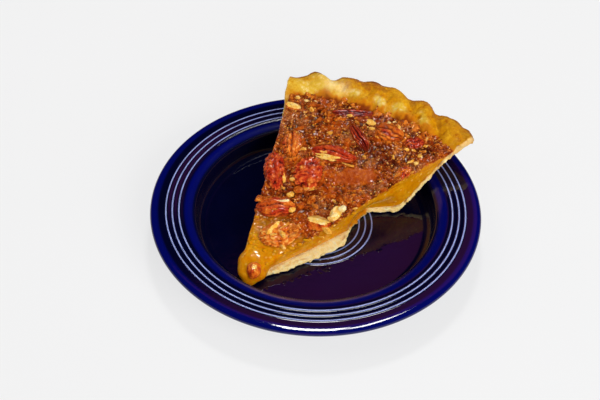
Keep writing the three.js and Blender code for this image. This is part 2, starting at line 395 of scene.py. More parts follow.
def on_cut(side, along, out=0.0):
    """The place in the plan that is so far along a cut, and stands so far out of it."""
    sine, cosine = math.sin(HALF_ANGLE), math.cos(HALF_ANGLE)
    return (TIP[0] + side * (along * sine + out * cosine), TIP[1] + along * cosine - out * sine)


def reach_inside(angle, pastry_radius):
    """How far it is from the tip, along an angle, to a circle about the pie's centre."""
    direction = np.stack([np.sin(angle), np.cos(angle)], axis=-1)
    offset = TIP - PIE_CENTRE
    half = direction @ offset
    return -half + np.sqrt(half**2 - offset @ offset + pastry_radius**2)


def dimple(places, centre, radius):
    """1 at a place in the plan, falling softly to 0 within a radius."""
    away = np.hypot(places[:, 0] - centre[0], places[:, 1] - centre[1])
    return np.exp(-((away / radius) ** 2))


# ---------------------------------------------------------------- pastry
# Burst bubbles in the rim: place, radius and depth.
HOLES = [((14.6, 66.8), 0.9, 1.3), ((41.0, 53.2), 0.8, 0.9)]

# Browner spots of the rim, and paler spots that are painted highlights: place and radius.
BROWN_SPOTS = [
    ((-6.9, 71.4), 1.0), ((36.3, 52.7), 1.6), ((-22.5, 71.5), 2.2), ((-14, 74), 1.8), ((21.5, 70.5), 1.6),
    ((40.5, 60.0), 1.5), ((-35.5, 66.5), 1.5),
]
PALE_SPOTS = [
    ((17.0, 63.5), 4.5), ((-5.5, 65.5), 2.5), ((40.5, 53.5), 3.0), ((3.5, 66.5), 3.0), ((-31.0, 61.5), 5.0),
]

# Painted highlights on the rim, in the crumb's cream colour: place, radius and how far.
PAINTED_HIGHLIGHT_SPOTS = [
    ((42.0, 51.4), 3.6, 1.6), ((38.6, 53.2), 2.4, 1.2), ((-32.0, 61.8), 3.4, 0.8), ((-27.4, 62.8), 3.2, 0.7),
]


def crease_depth(leaning):
    """How deep the creases between the crimps are, at each angle along the rim."""
    crease = np.zeros(len(leaning))
    for at, depth in CRIMP_CREASES:
        away = (leaning - at) / np.where(leaning < at, CREASE_GENTLE_SIDE, CREASE_SHARP_SIDE)
        crease += depth * np.exp(-(away**2))
    return crease


def leaning_bearing(distance, angle):
    """The bearing in degrees of the crimp that a place belongs to, as the crimps lean."""
    return np.degrees(angle) + CRIMP_LEAN * (distance - CRIMP_RADIUS)


def crimps(places):
    """The finger crimps: uneven lobes with a crease between each two, leaning along the rim."""
    distance, angle = around(PIE_CENTRE, places)
    leaning = leaning_bearing(distance, angle)
    lobe = read_off(CRIMP_LOBES, leaning)
    crease = crease_depth(leaning)
    moved = places.copy()
    outwards = (places[:, :2] - PIE_CENTRE) / distance[:, None]
    reach = ramp(distance, 110, 120) * (CRIMP_REACH * lobe - 0.3 * crease)
    moved[:, :2] += outwards * reach[:, None]
    upper = ramp(places[:, 2], WELL_HEIGHT + 20, WELL_HEIGHT + 26)
    swell = ramp(distance, 108, 114) * (CRIMP_RISE * lobe + 0.3)
    fold = ramp(distance, 108, 113) * (1.35 - 0.85 * ramp(distance, 118, 122.5)) * crease
    moved[:, 2] += upper * (swell - fold)
    return moved


def slice_cutter():
    """A prism with the slice's broken outline, to cut the pastry with."""
    outline = [on_cut(1, along, out) for along, out in RIGHT_EDGE]
    outline += [on_cut(1, CUT_REACH), on_cut(-1, CUT_REACH, 2 * LEFT_STANDS_OUT)]
    outline += [on_cut(-1, 114, 2 * LEFT_STANDS_OUT), on_cut(-1, 108, LEFT_STANDS_OUT), on_cut(-1, BLUNTNESS)]
    mesh = bpy.data.meshes.new("slice_outline")
    mesh.from_pydata([(x * MM, y * MM, 0) for x, y in outline], [], [range(len(outline))])
    cutter = bpy.data.objects.new("slice_outline", mesh)
    bpy.context.scene.collection.objects.link(cutter)
    deselect()
    bpy.context.view_layer.objects.active = cutter
    bpy.ops.object.mode_set(mode="EDIT")
    bpy.ops.mesh.select_all(action="SELECT")
    bpy.ops.mesh.extrude_region_move(TRANSFORM_OT_translate={"value": (0, 0, CUTTER_HEIGHT * MM)})
    bpy.ops.object.mode_set(mode="OBJECT")
    close_up(cutter)
    return cutter


def right_edge_out(along):
    """How far the pastry stands out of the right-hand cut."""
    return read_off([*RIGHT_EDGE, (CUT_REACH, 0)], along)


def crumble(places, facing):
    """Flaky roughness on the cut and broken edges, and gentle unevenness elsewhere."""
    out, along = out_of_cut(places, 1)
    height = places[:, 2] - WELL_HEIGHT
    low_crust = ramp(height, 1.2, 3.2) * ramp(height, 6, 4)
    sag = 0.42 * np.clip(out, 0, 4.5) * low_crust * ramp(along, 66, 60)
    edge = ramp(out - right_edge_out(along), -1.8, -0.4) * (1 - 0.6 * ramp(along, 95, 105))
    flakes = 1.1 * bumpy(places * [1, 1, 1.6], 3.2, 3) + 0.8 * bumpy(places * [1, 1, 2.5], 1.3, 4)
    dough = 0.34 * bumpy(places, 7, 5) + 0.18 * bumpy(places, 2.4, 6) + 0.06 * bumpy(places, 0.9, 8)
    under = np.where(places[:, 2] < WELL_HEIGHT + BASE + 0.4, 0.4, 1.0)
    hole = sum(depth * dimple(places, spot, radius) for spot, radius, depth in HOLES)
    moved = places + facing * ((flakes * edge + dough) * under - hole)[:, None]
    moved[:, 2] -= sag
    return moved


def make_pastry():
    case = turned_on_wheel("pastry", PASTRY_OUTSIDE + PASTRY_INSIDE, PIE_SEGMENTS)
    move_to(case, crimps(points(case) + np.array([*PIE_CENTRE, WELL_HEIGHT])))
    cutter = slice_cutter()
    finish_with(case, "BOOLEAN", operation="INTERSECT", object=cutter, solver="EXACT")
    bpy.data.objects.remove(cutter)
    close_up(case)
    remesh(case, PASTRY_FACE, 4)
    places = crumble(points(case), normals(case))
    places[:, 2] = np.clip(places[:, 2], WELL_HEIGHT + RING_HEIGHT + 0.25, SLICE_TOP)
    move_to(case, places)
    mark_baking(case)
    dress(case, baked_pastry(), "pastry", "crust")


def mark_baking(case):
    """How brown, how bare of crust and how stained with syrup each place on the pastry is, with painted shade
    in the creases between the crimps and painted highlights on the rim.
    """
    places, facing = points(case), normals(case)
    height = places[:, 2] - WELL_HEIGHT
    _, along = out_of_cut(places, 1)
    drawn_over = ramp(along, 66, 68) * ramp(along, 83, 79) * ramp(height, 1.3, 1.9) * ramp(height, 9, 7)
    holes = sum(dimple(places, spot, radius) for spot, radius, _ in HOLES)
    mark_browning(case, places, facing, holes)
    mark_crumb_and_highlights(case, places, facing, holes, drawn_over)
    mark_stains(case, places, facing, drawn_over)


def mark_browning(case, places, facing, holes):
    """How brown the rim, the outside and the spots are, and the darker outline of the rim, with painted shade
    in the creases between the crimps and painted highlights at the paler spots.
    """
    distance, angle = around(PIE_CENTRE, places)
    height = places[:, 2] - WELL_HEIGHT
    outline = 124.2 + CRIMP_REACH * read_off(CRIMP_LOBES, np.degrees(angle))
    edge = ramp(distance - outline, -2.2, -1.0) * (0.75 + 0.6 * bumpy(places, 7, 15))
    mark(case, "edge", edge * (height > 20))
    crest = ramp(distance, 115.0, 121.0) * ramp(height, 21, 25.5) * 0.4
    # Painted shade: the creases between the crimps are browned as if shaded.
    crest = crest + 0.24 * crease_depth(leaning_bearing(distance, angle)) * ramp(distance, 110, 116)
    wall = ramp(distance, 84, 118) * (facing[:, 2] < 0.2) * 0.9
    side = 0.42 * ramp(np.degrees(angle), -22, -10)
    brown = np.maximum(crest, wall) + side + 0.25 * bumpy(places, 6, 11) + 0.18 * bumpy(places, 2.2, 12)
    for spot, radius in BROWN_SPOTS:
        brown = brown + 0.7 * dimple(places, spot, radius)
    # The paler spots are painted highlights.
    for spot, radius in PALE_SPOTS:
        brown = brown - 0.6 * dimple(places, spot, radius)
    mark(case, "brown", brown + 0.9 * holes)


def mark_crumb_and_highlights(case, places, facing, holes, drawn_over):
    """Where the skin is cut or broken, so that the crumb shows, and the cream spots of painted highlight on
    the rim.
    """
    out_right, along_right = out_of_cut(places, 1)
    out_left, _ = out_of_cut(places, -1)
    faces_right, _ = out_of_cut(facing[:, :2] + TIP, 1)
    faces_left, _ = out_of_cut(facing[:, :2] + TIP, -1)
    cut_right = ramp(faces_right, 0.3, 0.6) * (out_right > right_edge_out(along_right) - 1.6)
    cut_left = ramp(faces_left, 0.5, 0.8) * (out_left > -1.6)
    ledge = ramp(out_right, -1.0, 0.3) * ramp(along_right, 95, 88)
    bottom = ramp(around(PIE_CENTRE, places)[0], 84, 78)
    bare = np.maximum.reduce([cut_right, cut_left, ledge, bottom]) * (1 - drawn_over)
    bare = bare * (1 - 0.5 * ramp(along_right, 108, 116))
    # Painted highlights: cream spots on the rim, put into the bare mark.
    for spot, radius, share in PAINTED_HIGHLIGHT_SPOTS:
        bare = np.maximum(bare, share * dimple(places, spot, radius) - holes)
    mark(case, "bare", bare)


def mark_stains(case, places, facing, drawn_over):
    """Where syrup ran onto the rim in fingers, or was drawn over the broken edge."""
    distance, angle = around(PIE_CENTRE, places)
    fingers = np.column_stack([angle * 122 / 1.8, distance / 3, 0 * angle])
    reach = distance - 1.6 * bumpy(fingers, 1.0, 13) - 2.6 * bumpy(flat(places), 7, 14)
    away_from_cut = ramp(-out_of_cut(places, -1)[0], 0.0, 5.0)
    stained = ramp(reach, 115.4, 108.6) * ramp(distance, 100, 104) * ramp(facing[:, 2], 0, 0.4)
    mark(case, "stained", np.maximum(stained * (0.35 + 0.65 * away_from_cut), 0.45 * drawn_over))


# ---------------------------------------------------------------- pecan pieces: their places and looks
# Place, heading, and length, width and rise. Then how red, wrinkled, furrowed and dark it is. Last its break,
# if it has one, by the heading and slope of the broken face and how far out that lies.
NUT_SINK = 1.7
PECANS = {
    "pecan_01": ((-26.0, 3.8), -53, (20.0, 10.0, 3.0), (0.85, 1.7, 0.6, 0.08), None),
    "pecan_02": ((-12.0, 10.6), -56, (17.7, 14.0, 2.7), (0.75, 1.9, 0.3, 0.0), None),
    "pecan_03": ((-7.4, 25.8), 13, (21.6, 10.0, 2.9), (0.75, 0.9, 1.0, 0.0), (-104, 36, 0.80)),
    "pecan_04": ((8.2, 51.2), 2, (15.5, 10.4, 2.8), (0.36, 0.6, 1.0, 0.16), None),
    "pecan_05": ((-2.3, 41.0), -31, (18.6, 6.0, 2.4), (0.8, 0.5, 1.5, 0.2), None),
    "pecan_06": ((-14.0, -12.6), 32, (18.4, 11.6, 3.2), (0.42, 0.9, 0.9, 0.0), None),
    "pecan_07": ((-3.3, -24.6), 46, (19.2, 14.2, 2.6), (0.0, 1.4, 1.0, -0.06), None),
    "pecan_08": ((8.0, -9.8), 20, (12.6, 9.6, 2.4), (0.4, 0.8, 0.5, 0.0), (80, 50, 0.4)),
    "pecan_09": ((12.2, -1.6), -84, (9.6, 5.6, 2.0), (0.0, 1.0, 0.2, 0.0), (0, 90, 0.3)),
    "pecan_10": ((-40.8, 41.0), 16, (8.2, 5.4, 2.0), (0.0, 1.0, 0.4, 0.0), (60, 70, 0.3)),
    "pecan_11": ((-27.6, 20.3), -58, (14.8, 9.4, 2.6), (0.3, 1.5, 1.5, 0.0), None),
    "pecan_12": ((-13.6, 53.4), 31, (22.0, 5.0, 1.1), (1.0, 1.3, 1.3, 0.32), None),
    "pecan_13": ((21.6, 52.4), 42, (9.0, 7.4, 1.6), (0.9, 1.3, 0.8, 0.2), None),
    "pecan_14": ((27.4, 33.8), 64, (8.4, 6.0, 1.5), (0.35, 1.4, 0.6, 0.1), None),
    "pecan_tip": ((-2.7, -47.0), -57, (9.0, 6.8, 3.3), (0.3, 0.35, 0.3, 0.0), (113, 82, 0.93)),
}


def turned_into(places, centre, heading):
    """How far places in the plan lie along and across a heading, from a centre."""
    turn = math.radians(heading)
    across, along = places[:, 0] - centre[0], places[:, 1] - centre[1]
    x = across * math.cos(turn) + along * math.sin(turn)
    y = along * math.cos(turn) - across * math.sin(turn)
    return x, y


def nut_reach(places):
    """Distance from the middle of the nearest large nut, in units of its own half size."""
    nearest = np.full(len(places), 9.0)
    for centre, heading, (length, width, _), _, _ in PECANS.values():
        x, y = turned_into(places, centre, heading)
        x, y = x / (length / 2), y / (width / 2)
        nearest = np.minimum(nearest, np.hypot(x, y))
    return nearest


# ---------------------------------------------------------------- filling and nut layer
def inside_height(places):
    """Height of the pastry's inside above the well."""
    distance, _ = around(PIE_CENTRE, places)
    return read_off(sorted(PASTRY_INSIDE), distance)


def top_height(places):
    distance, _ = around(TIP, places)
    return read_off(TOP_HEIGHT, distance)


def knife_wave(along, height):
    """How far the knife's drag moves the cut face in and out."""
    return 0.16 * np.sin(along / 5.3 + height * 0.5) + 0.10 * np.sin(along / 2.1 - height * 0.8)


def crack_depth(along, height):
    """How far the filling has slumped back from the right-hand cut, above the broken pastry."""
    depth = np.clip(-right_edge_out(along), 0, None)
    return depth * (1 - ramp(height, 5, UNDERCUT_HEIGHT))


def wedge_places(u, v, start, stop):
    """Places in the plan, from one cut to the other and from a start outwards to the pastry."""
    angle = (u * 2 - 1) * HALF_ANGLE
    distance = start + v * (reach_inside(angle, stop) - start)
    return np.stack([TIP[0] + distance * np.sin(angle), TIP[1] + distance * np.cos(angle)], axis=-1)


def pull_in(plan, height, u):
    """The cut faces, pulled in where the filling has slumped and waved where the knife dragged."""
    _, along_right = out_of_cut(plan, 1)
    _, along_left = out_of_cut(plan, -1)
    inwards_right = -np.array([math.cos(HALF_ANGLE), -math.sin(HALF_ANGLE)])
    inwards_left = np.array([math.cos(HALF_ANGLE), math.sin(HALF_ANGLE)])
    pull_right = crack_depth(along_right, height) + 0.3 + knife_wave(along_right, height)
    pull_left = 0.3 + knife_wave(along_left + 40, height)
    from_right = inwards_right * (pull_right * ramp(u, 0.55, 1.0))[:, None]
    from_left = inwards_left * (pull_left * ramp(1 - u, 0.55, 1.0))[:, None]
    return plan + from_right + from_left


def filling_place(u, v, w):
    plan = wedge_places(u, v, BLUNTNESS, FILLING_REACH)
    low = inside_height(plan) + CLEAR
    distance, _ = around(TIP, plan)
    covered = 0.72 * NUT_LAYER_THICKNESS * ramp(distance, NUT_LAYER_START, NUT_LAYER_START + 6)
    high = np.maximum(top_height(plan) - covered, low + 0.4)
    height = low + w * (high - low)
    return np.column_stack([pull_in(plan, height, u), WELL_HEIGHT + height])


def blob(name, centre, radii):
    """A round lump, ready to be melted into a neighbour."""
    deselect()
    bpy.ops.mesh.primitive_uv_sphere_add(segments=32, ring_count=20, radius=1)
    lump = named(name)
    move_to(lump, points(lump) * MM * np.array(radii) + np.array(centre) + [0, 0, WELL_HEIGHT])
    return lump


def join(pieces):
    """Several pieces become one."""
    deselect()
    for piece in pieces:
        piece.select_set(True)
    bpy.context.view_layer.objects.active = pieces[0]
    bpy.ops.object.join()
    return pieces[0]


def soften_part(piece, share, iterations):
    """Smooths only a part of a piece, by each vertex's share."""
    group = piece.vertex_groups.new(name="soft")
    for index in np.flatnonzero(share > 0.01):
        group.add([int(index)], float(share[index]), "REPLACE")
    finish_with(piece, "SMOOTH", factor=0.5, iterations=iterations, vertex_group="soft")
    piece.vertex_groups.clear()


# The filling's droop over the point, as lumps: name, centre above the well and half sizes.
DROOP = [
    ("nose", (-5.2, -44.4, 3.5), (7.3, 7.5, 3.9)), ("drip", (-3.4, -49.8, 1.9), (3.5, 3.2, 1.9)),
    ("neck", (-8.2, -40.6, 4.5), (6.4, 7.6, 4.5)),
]


def make_filling():
    body = raised_slab("filling", 40, 90, 12, filling_place)
    body = join([body] + [blob(*lump) for lump in DROOP])
    remesh(body, FILLING_FACE, 6)
    distance, _ = around(TIP, points(body))
    soften_part(body, 1 - ramp(distance, 24, 34), 30)
    places = points(body)
    ripple = 0.14 * bumpy(places, 5, 21) + 0.06 * bumpy(places, 1.8, 22)
    move_to(body, places + normals(body) * ripple[:, None])
    dress(body, set_filling("amber_filling"), "filling", "filling")


def nut_layer_place(u, v, w):
    plan = wedge_places(u, v, NUT_LAYER_START, NUT_LAYER_REACH)
    distance, _ = around(TIP, plan)
    thick = NUT_LAYER_THICKNESS * ramp(distance, NUT_LAYER_START - 2, NUT_LAYER_START + 7)
    high = top_height(plan)
    low = np.minimum(np.maximum(high - thick - 0.5, inside_height(plan) + CLEAR), high - 0.6)
    height = low + w * (high - low)
    return np.column_stack([pull_in(plan, height, u), WELL_HEIGHT + height])


# Where the top set clear and orange, where it scorched and where it frothed: place and radius.
TOP_PATCHES = {
    "calm": [
        (-18.5, 41.5, 4.0), (-26, 25, 4.5), (3, 10, 6), (-29, 52, 3.5), (-6, 33, 3.0), (32, 46, 3),
        (6, 46.5, 3), (-3, 15, 4), (-20.5, 14, 3), (2, -14, 5), (20, 10, 4), (-12, 59, 3), (24, 57, 3),
    ],
    "scorched": [
        (8, 41, 6), (-16, 55, 6), (20.5, 38, 4.5), (28, 51, 5), (-0.5, 3.5, 4), (-6, -18, 3), (-27, 47, 3.5),
        (-36, 50, 3), (2, 37, 4), (-24, 34, 4), (16, 57, 3), (-13, 31, 3), (-18, -1, 3), (14, 33, 3),
    ],
    "froth": [
        (-36.5, 33, 7), (-32, 38, 5), (-9, 38, 5), (27, 34, 4), (17, 13, 4), (23, 19, 4), (31, 39, 4),
        (-22, 17, 4), (0, 48, 3), (12, 60, 4), (-26, 55, 3), (4, -1, 4), (9, 31, 3), (20, 44, 3),
    ],
}


def calm_patch(places):
    """1 in the middle of the patch where the syrup set smooth, 0 outside it."""
    centre, long, wide, heading = CALM_PATCH
    x, y = turned_into(places, centre, heading)
    reach = np.hypot(x / long, y / wide) + 0.25 * bumpy(flat(places), 4, 31)
    return 1 - ramp(reach, 0.75, 1.1)


def top_relief(places):
    """How far the baked top rises and falls: swells, chopped nuts under the skin and blisters."""
    level = flat(places)
    busy = 1 - calm_patch(places)
    swell = 0.35 * bumpy(level, 9, 41) * (0.3 + 0.7 * busy)
    chopped = 0.7 * np.clip(bumpy(level, 2.6, 42), -0.5, 1)
    lumps = (chopped + 0.6 * blistered(level * [1, 1.4, 1], 3.6, 46)) * busy
    blister = (0.75 * blistered(level, 1.8, 43) + 0.4 * blistered(level, 1.1, 47) - 0.3) * busy
    reach = nut_reach(places)
    collar = 0.55 * np.exp(-(((reach - 1.08) / 0.14) ** 2)) * (1 + 0.8 * bumpy(level, 2.6, 44))
    distance, _ = around(TIP, places)
    growing = ramp(distance, NUT_LAYER_START, NUT_LAYER_START + 14)
    rim_distance, rim_angle = around(PIE_CENTRE, places)
    fingers = np.column_stack([rim_angle * 110 / 2.0, 0 * rim_angle, 0 * rim_angle])
    lap = ramp(rim_distance, 104, 110) * np.clip(0.5 + bumpy(fingers, 1.0, 45), 0, 1.4)
    return ((swell + lumps + blister) * ramp(reach, 0.8, 1.2) + collar) * growing - 0.15 + lap


def make_nut_layer():
    layer = raised_slab("nut_top", 60, 120, 6, nut_layer_place)
    remesh(layer, TOP_FACE, 2)
    places = points(layer)
    upper = ramp(normals(layer)[:, 2], 0.2, 0.7)
    relief = top_relief(places)
    places[:, 2] += relief * upper
    move_to(layer, places)
    distance, _ = around(TIP, places)
    depth = WELL_HEIGHT + top_height(places) + relief - places[:, 2]
    bare_gel = 1 - ramp(distance + 5 * bumpy(flat(places), 6, 51), 30, 46)
    into_pie = np.minimum(-out_of_cut(places, 1)[0], -out_of_cut(places, -1)[0])
    cut_face = ramp(depth + 0.35 * bumpy(places, 1.5, 52), 0.3, 0.8) * ramp(into_pie, 2.4, 1.4)
    # The relief mark drives painted shade in the hollows and painted highlight on the crests.
    mark(layer, "relief", 0.4 + relief * 0.5)
    mark(layer, "gel", np.maximum(bare_gel, cut_face))
    # Painted shadow round the edge of each large nut.
    mark(layer, "nut_edge_shade", np.exp(-(((nut_reach(places) - 1.0) / 0.10) ** 2)))
    for kind, patches in TOP_PATCHES.items():
        share = np.zeros(len(places))
        for across, along, radius in patches:
            share = np.maximum(share, 1.3 * dimple(places, (across, along), radius))
        share = share * (1 + 0.5 * bumpy(flat(places), 2.4, 53))
        mark(layer, kind, np.maximum(share, calm_patch(places)) if kind == "calm" else share)
    dress(layer, caramel_top(), "nut_layer", "nut_layer")


# ---------------------------------------------------------------- pecans
SIDE_FURROWS = (0.62, 1.10, 1.55)


def nut_skin(unit, seed, wrinkle, furrow):
    """How plump the nut is at each place of a unit ball whose long axis is X, how deep its furrows, and its
    shade: painted shade in the furrows and painted highlight on the folds.
    """
    along = unit[:, 0]
    turn = np.arctan2(unit[:, 1], unit[:, 2])
    wander = 0.28 * bumpy(np.column_stack([along * 2.2, turn * 0.5, turn * 0]), 1.0, seed)
    deep = np.exp(-(((turn + wander) / 0.17) ** 2)) * (1 - 0.45 * along**2)
    sides = np.zeros(len(unit))
    for line in SIDE_FURROWS:
        away = np.abs(turn + wander) - line * (1 - 0.25 * along**2)
        sides = np.maximum(sides, np.exp(-((away / 0.10) ** 2)))
    cross = np.column_stack([along * 7.5, np.abs(turn) * 1.6 + along * 1.5, np.sign(turn)])
    folds = (1 - np.abs(bumpy(cross, 1.0, seed + 1)) * 2.4) * 0.5
    fine = bumpy(unit * 9, 1.0, seed + 2)
    broad = bumpy(unit * 1.7, 1.0, seed + 3)
    depth = furrow * (0.32 * deep + 0.13 * sides)
    plump = 1 - depth + wrinkle * (0.11 * folds + 0.05 * fine) + 0.10 * broad
    shade = 0.5 + furrow * (0.45 * deep + 0.3 * sides) - wrinkle * (0.4 * folds + 0.2 * fine) - 0.12 * broad
    return plump, np.clip(shade, 0, 1)


def break_off(ball, heading, slope, reach, seed):
    """Flattens what lies past a slanting plane, and says where the break is."""
    turn, lift = math.radians(heading), math.radians(slope)
    face = np.array([math.cos(turn) * math.cos(lift), math.sin(turn) * math.cos(lift), math.sin(lift)])
    past = ball @ face - reach - 0.07 * bumpy(ball * 5, 1.0, seed)
    return ball - np.outer(np.clip(past, 0, None) * 0.92, face), ramp(past, 0.0, 0.06)


def seat_on_top(at, heading, lean=0.0):
    """The place of the top under a piece, and the turn that lays the piece along it."""
    distance = around(TIP, np.array([at]))[0][0]
    slope = (read_off(TOP_HEIGHT, distance + 5) - read_off(TOP_HEIGHT, distance - 5)) / 10
    lying = Matrix.Rotation(math.atan(slope), 3, "X") @ Matrix.Rotation(math.radians(heading), 3, "Z")
    turn = lying @ Matrix.Rotation(math.radians(lean), 3, "X")
    return np.array([*at, WELL_HEIGHT + read_off(TOP_HEIGHT, distance)]), np.array(turn)


def make_pecan(node, number, look):
    centre, heading, (length, width, rise), (red, wrinkle, furrow, dark), broken_face = look
    deselect()
    bpy.ops.mesh.primitive_uv_sphere_add(segments=96, ring_count=72, radius=1)
    nut = named(node.replace("pecan", "pecan_piece"))
    ball = points(nut) * MM
    unit = np.column_stack([-ball[:, 2], ball[:, 1], ball[:, 0]])
    plump, shade = nut_skin(unit, 100 + number * 7, wrinkle, furrow)
    shaped = unit * plump[:, None]
    shaped[:, 1] *= 1 - 0.14 * unit[:, 0] + 0.05 * bumpy(unit * 2, 1.0, number)
    flesh = np.zeros(len(unit))
    if broken_face:
        shaped, flesh = break_off(shaped, *broken_face, 300 + number)
    up = np.where(shaped[:, 2] > 0, rise, NUT_SINK)
    sized = shaped * np.column_stack([np.full(len(up), length / 2), np.full(len(up), width / 2), up])
    seat, turn = seat_on_top(centre, heading)
    move_to(nut, sized @ turn.T + seat)
    # The furrow mark is painted shade in the furrows and painted highlight on the folds, plus the nut's own
    # darkness.
    mark(nut, "furrow", (shade + dark) * (1 - flesh))
    mark(nut, "flesh", flesh)
    mark(nut, "red", red + 0.5 * bumpy(unit * 2.2, 1.0, number + 60))
    mark(nut, "syrup", 1 - ramp(shaped[:, 2] + 0.12 * bumpy(unit * 3, 1.0, number + 80), 0.02, 0.3))
    close_up(nut)
    dress(nut, PECAN_MATERIAL, "pecan", node)


# ---------------------------------------------------------------- chopped nuts and beads
def lump_shape(seed, flats, fineness=2):
    """A small chopped piece: a ball with flats cut on it, as places and faces."""
    deselect()
    bpy.ops.mesh.primitive_uv_sphere_add(segments=4 * fineness, ring_count=3 * fineness - 1, radius=1)
    ball = named("lump")
    places = points(ball) * MM
    faces = [list(face.vertices) for face in ball.data.polygons]
    bpy.data.objects.remove(ball)
    chance = np.random.default_rng(seed)
    places = places * (1 + 0.25 * bumpy(places, 0.8, seed))[:, None]
    for _ in range(flats):
        facing = chance.normal(size=3)
        facing /= np.linalg.norm(facing)
        past = np.clip(places @ facing - chance.uniform(0.25, 0.65), 0, None)
        places = places - np.outer(past, facing)
    rough = 0.06 if fineness < 4 else 0.15
    places = places * (1 + rough * bumpy(places, 0.34, seed + 50))[:, None]
    return places, faces


def scatter(name, shapes, seats):
    """One joined mesh of many small pieces: each shape at its place, size, heading, lean, lift and tone."""
    corners, faces, tones, start = [], [], [], 0
    for number, (at, size, heading, lean, lift, tone) in enumerate(seats):
        places, shape_faces = shapes[number % len(shapes)]
        seat, turn = seat_on_top(at, heading, lean)
        seat[2] += lift + top_relief(np.array([[*at, 0.0]]))[0]
        corners.append((places * (np.array(size) / 2)) @ turn.T + seat)
        faces += [[index + start for index in face] for face in shape_faces]
        tones += [tone] * len(places)
        start += len(places)
    mesh = bpy.data.meshes.new(name)
    mesh.from_pydata(np.concatenate(corners) * MM, [], faces)
    piece = bpy.data.objects.new(name, mesh)
    bpy.context.scene.collection.objects.link(piece)
    mark(piece, "tone", np.array(tones))
    return piece


def random_seats(count, smallest, largest, tones, lift=0.0):
    """Seats for small pieces all over the top, clear of the large nuts and of the smooth patch."""
    seats = []
    while len(seats) < count:
        angle = random.uniform(-1, 1) * (HALF_ANGLE - 0.012)
        reach = reach_inside(np.array([angle]), SEATS_REACH)[0]
        distance = SEATS_START + math.sqrt(random.uniform()) * (reach - SEATS_START)
        at = (TIP[0] + distance * math.sin(angle), TIP[1] + distance * math.cos(angle))
        spot = np.array([[*at, 0.0]])
        if nut_reach(spot)[0] < 1.05 or calm_patch(spot)[0] > random.uniform(0, 0.5):
            continue
        long = smallest + (largest - smallest) * random.uniform() ** 2
        size = (long, long * random.uniform(0.4, 0.8), long * random.uniform(0.35, 0.6))
        tone = tones[0] + (tones[1] - tones[0]) * random.uniform() ** 2
        seats.append((at, size, random.uniform(0, 360), random.uniform(-40, 40), lift, tone))
    return seats


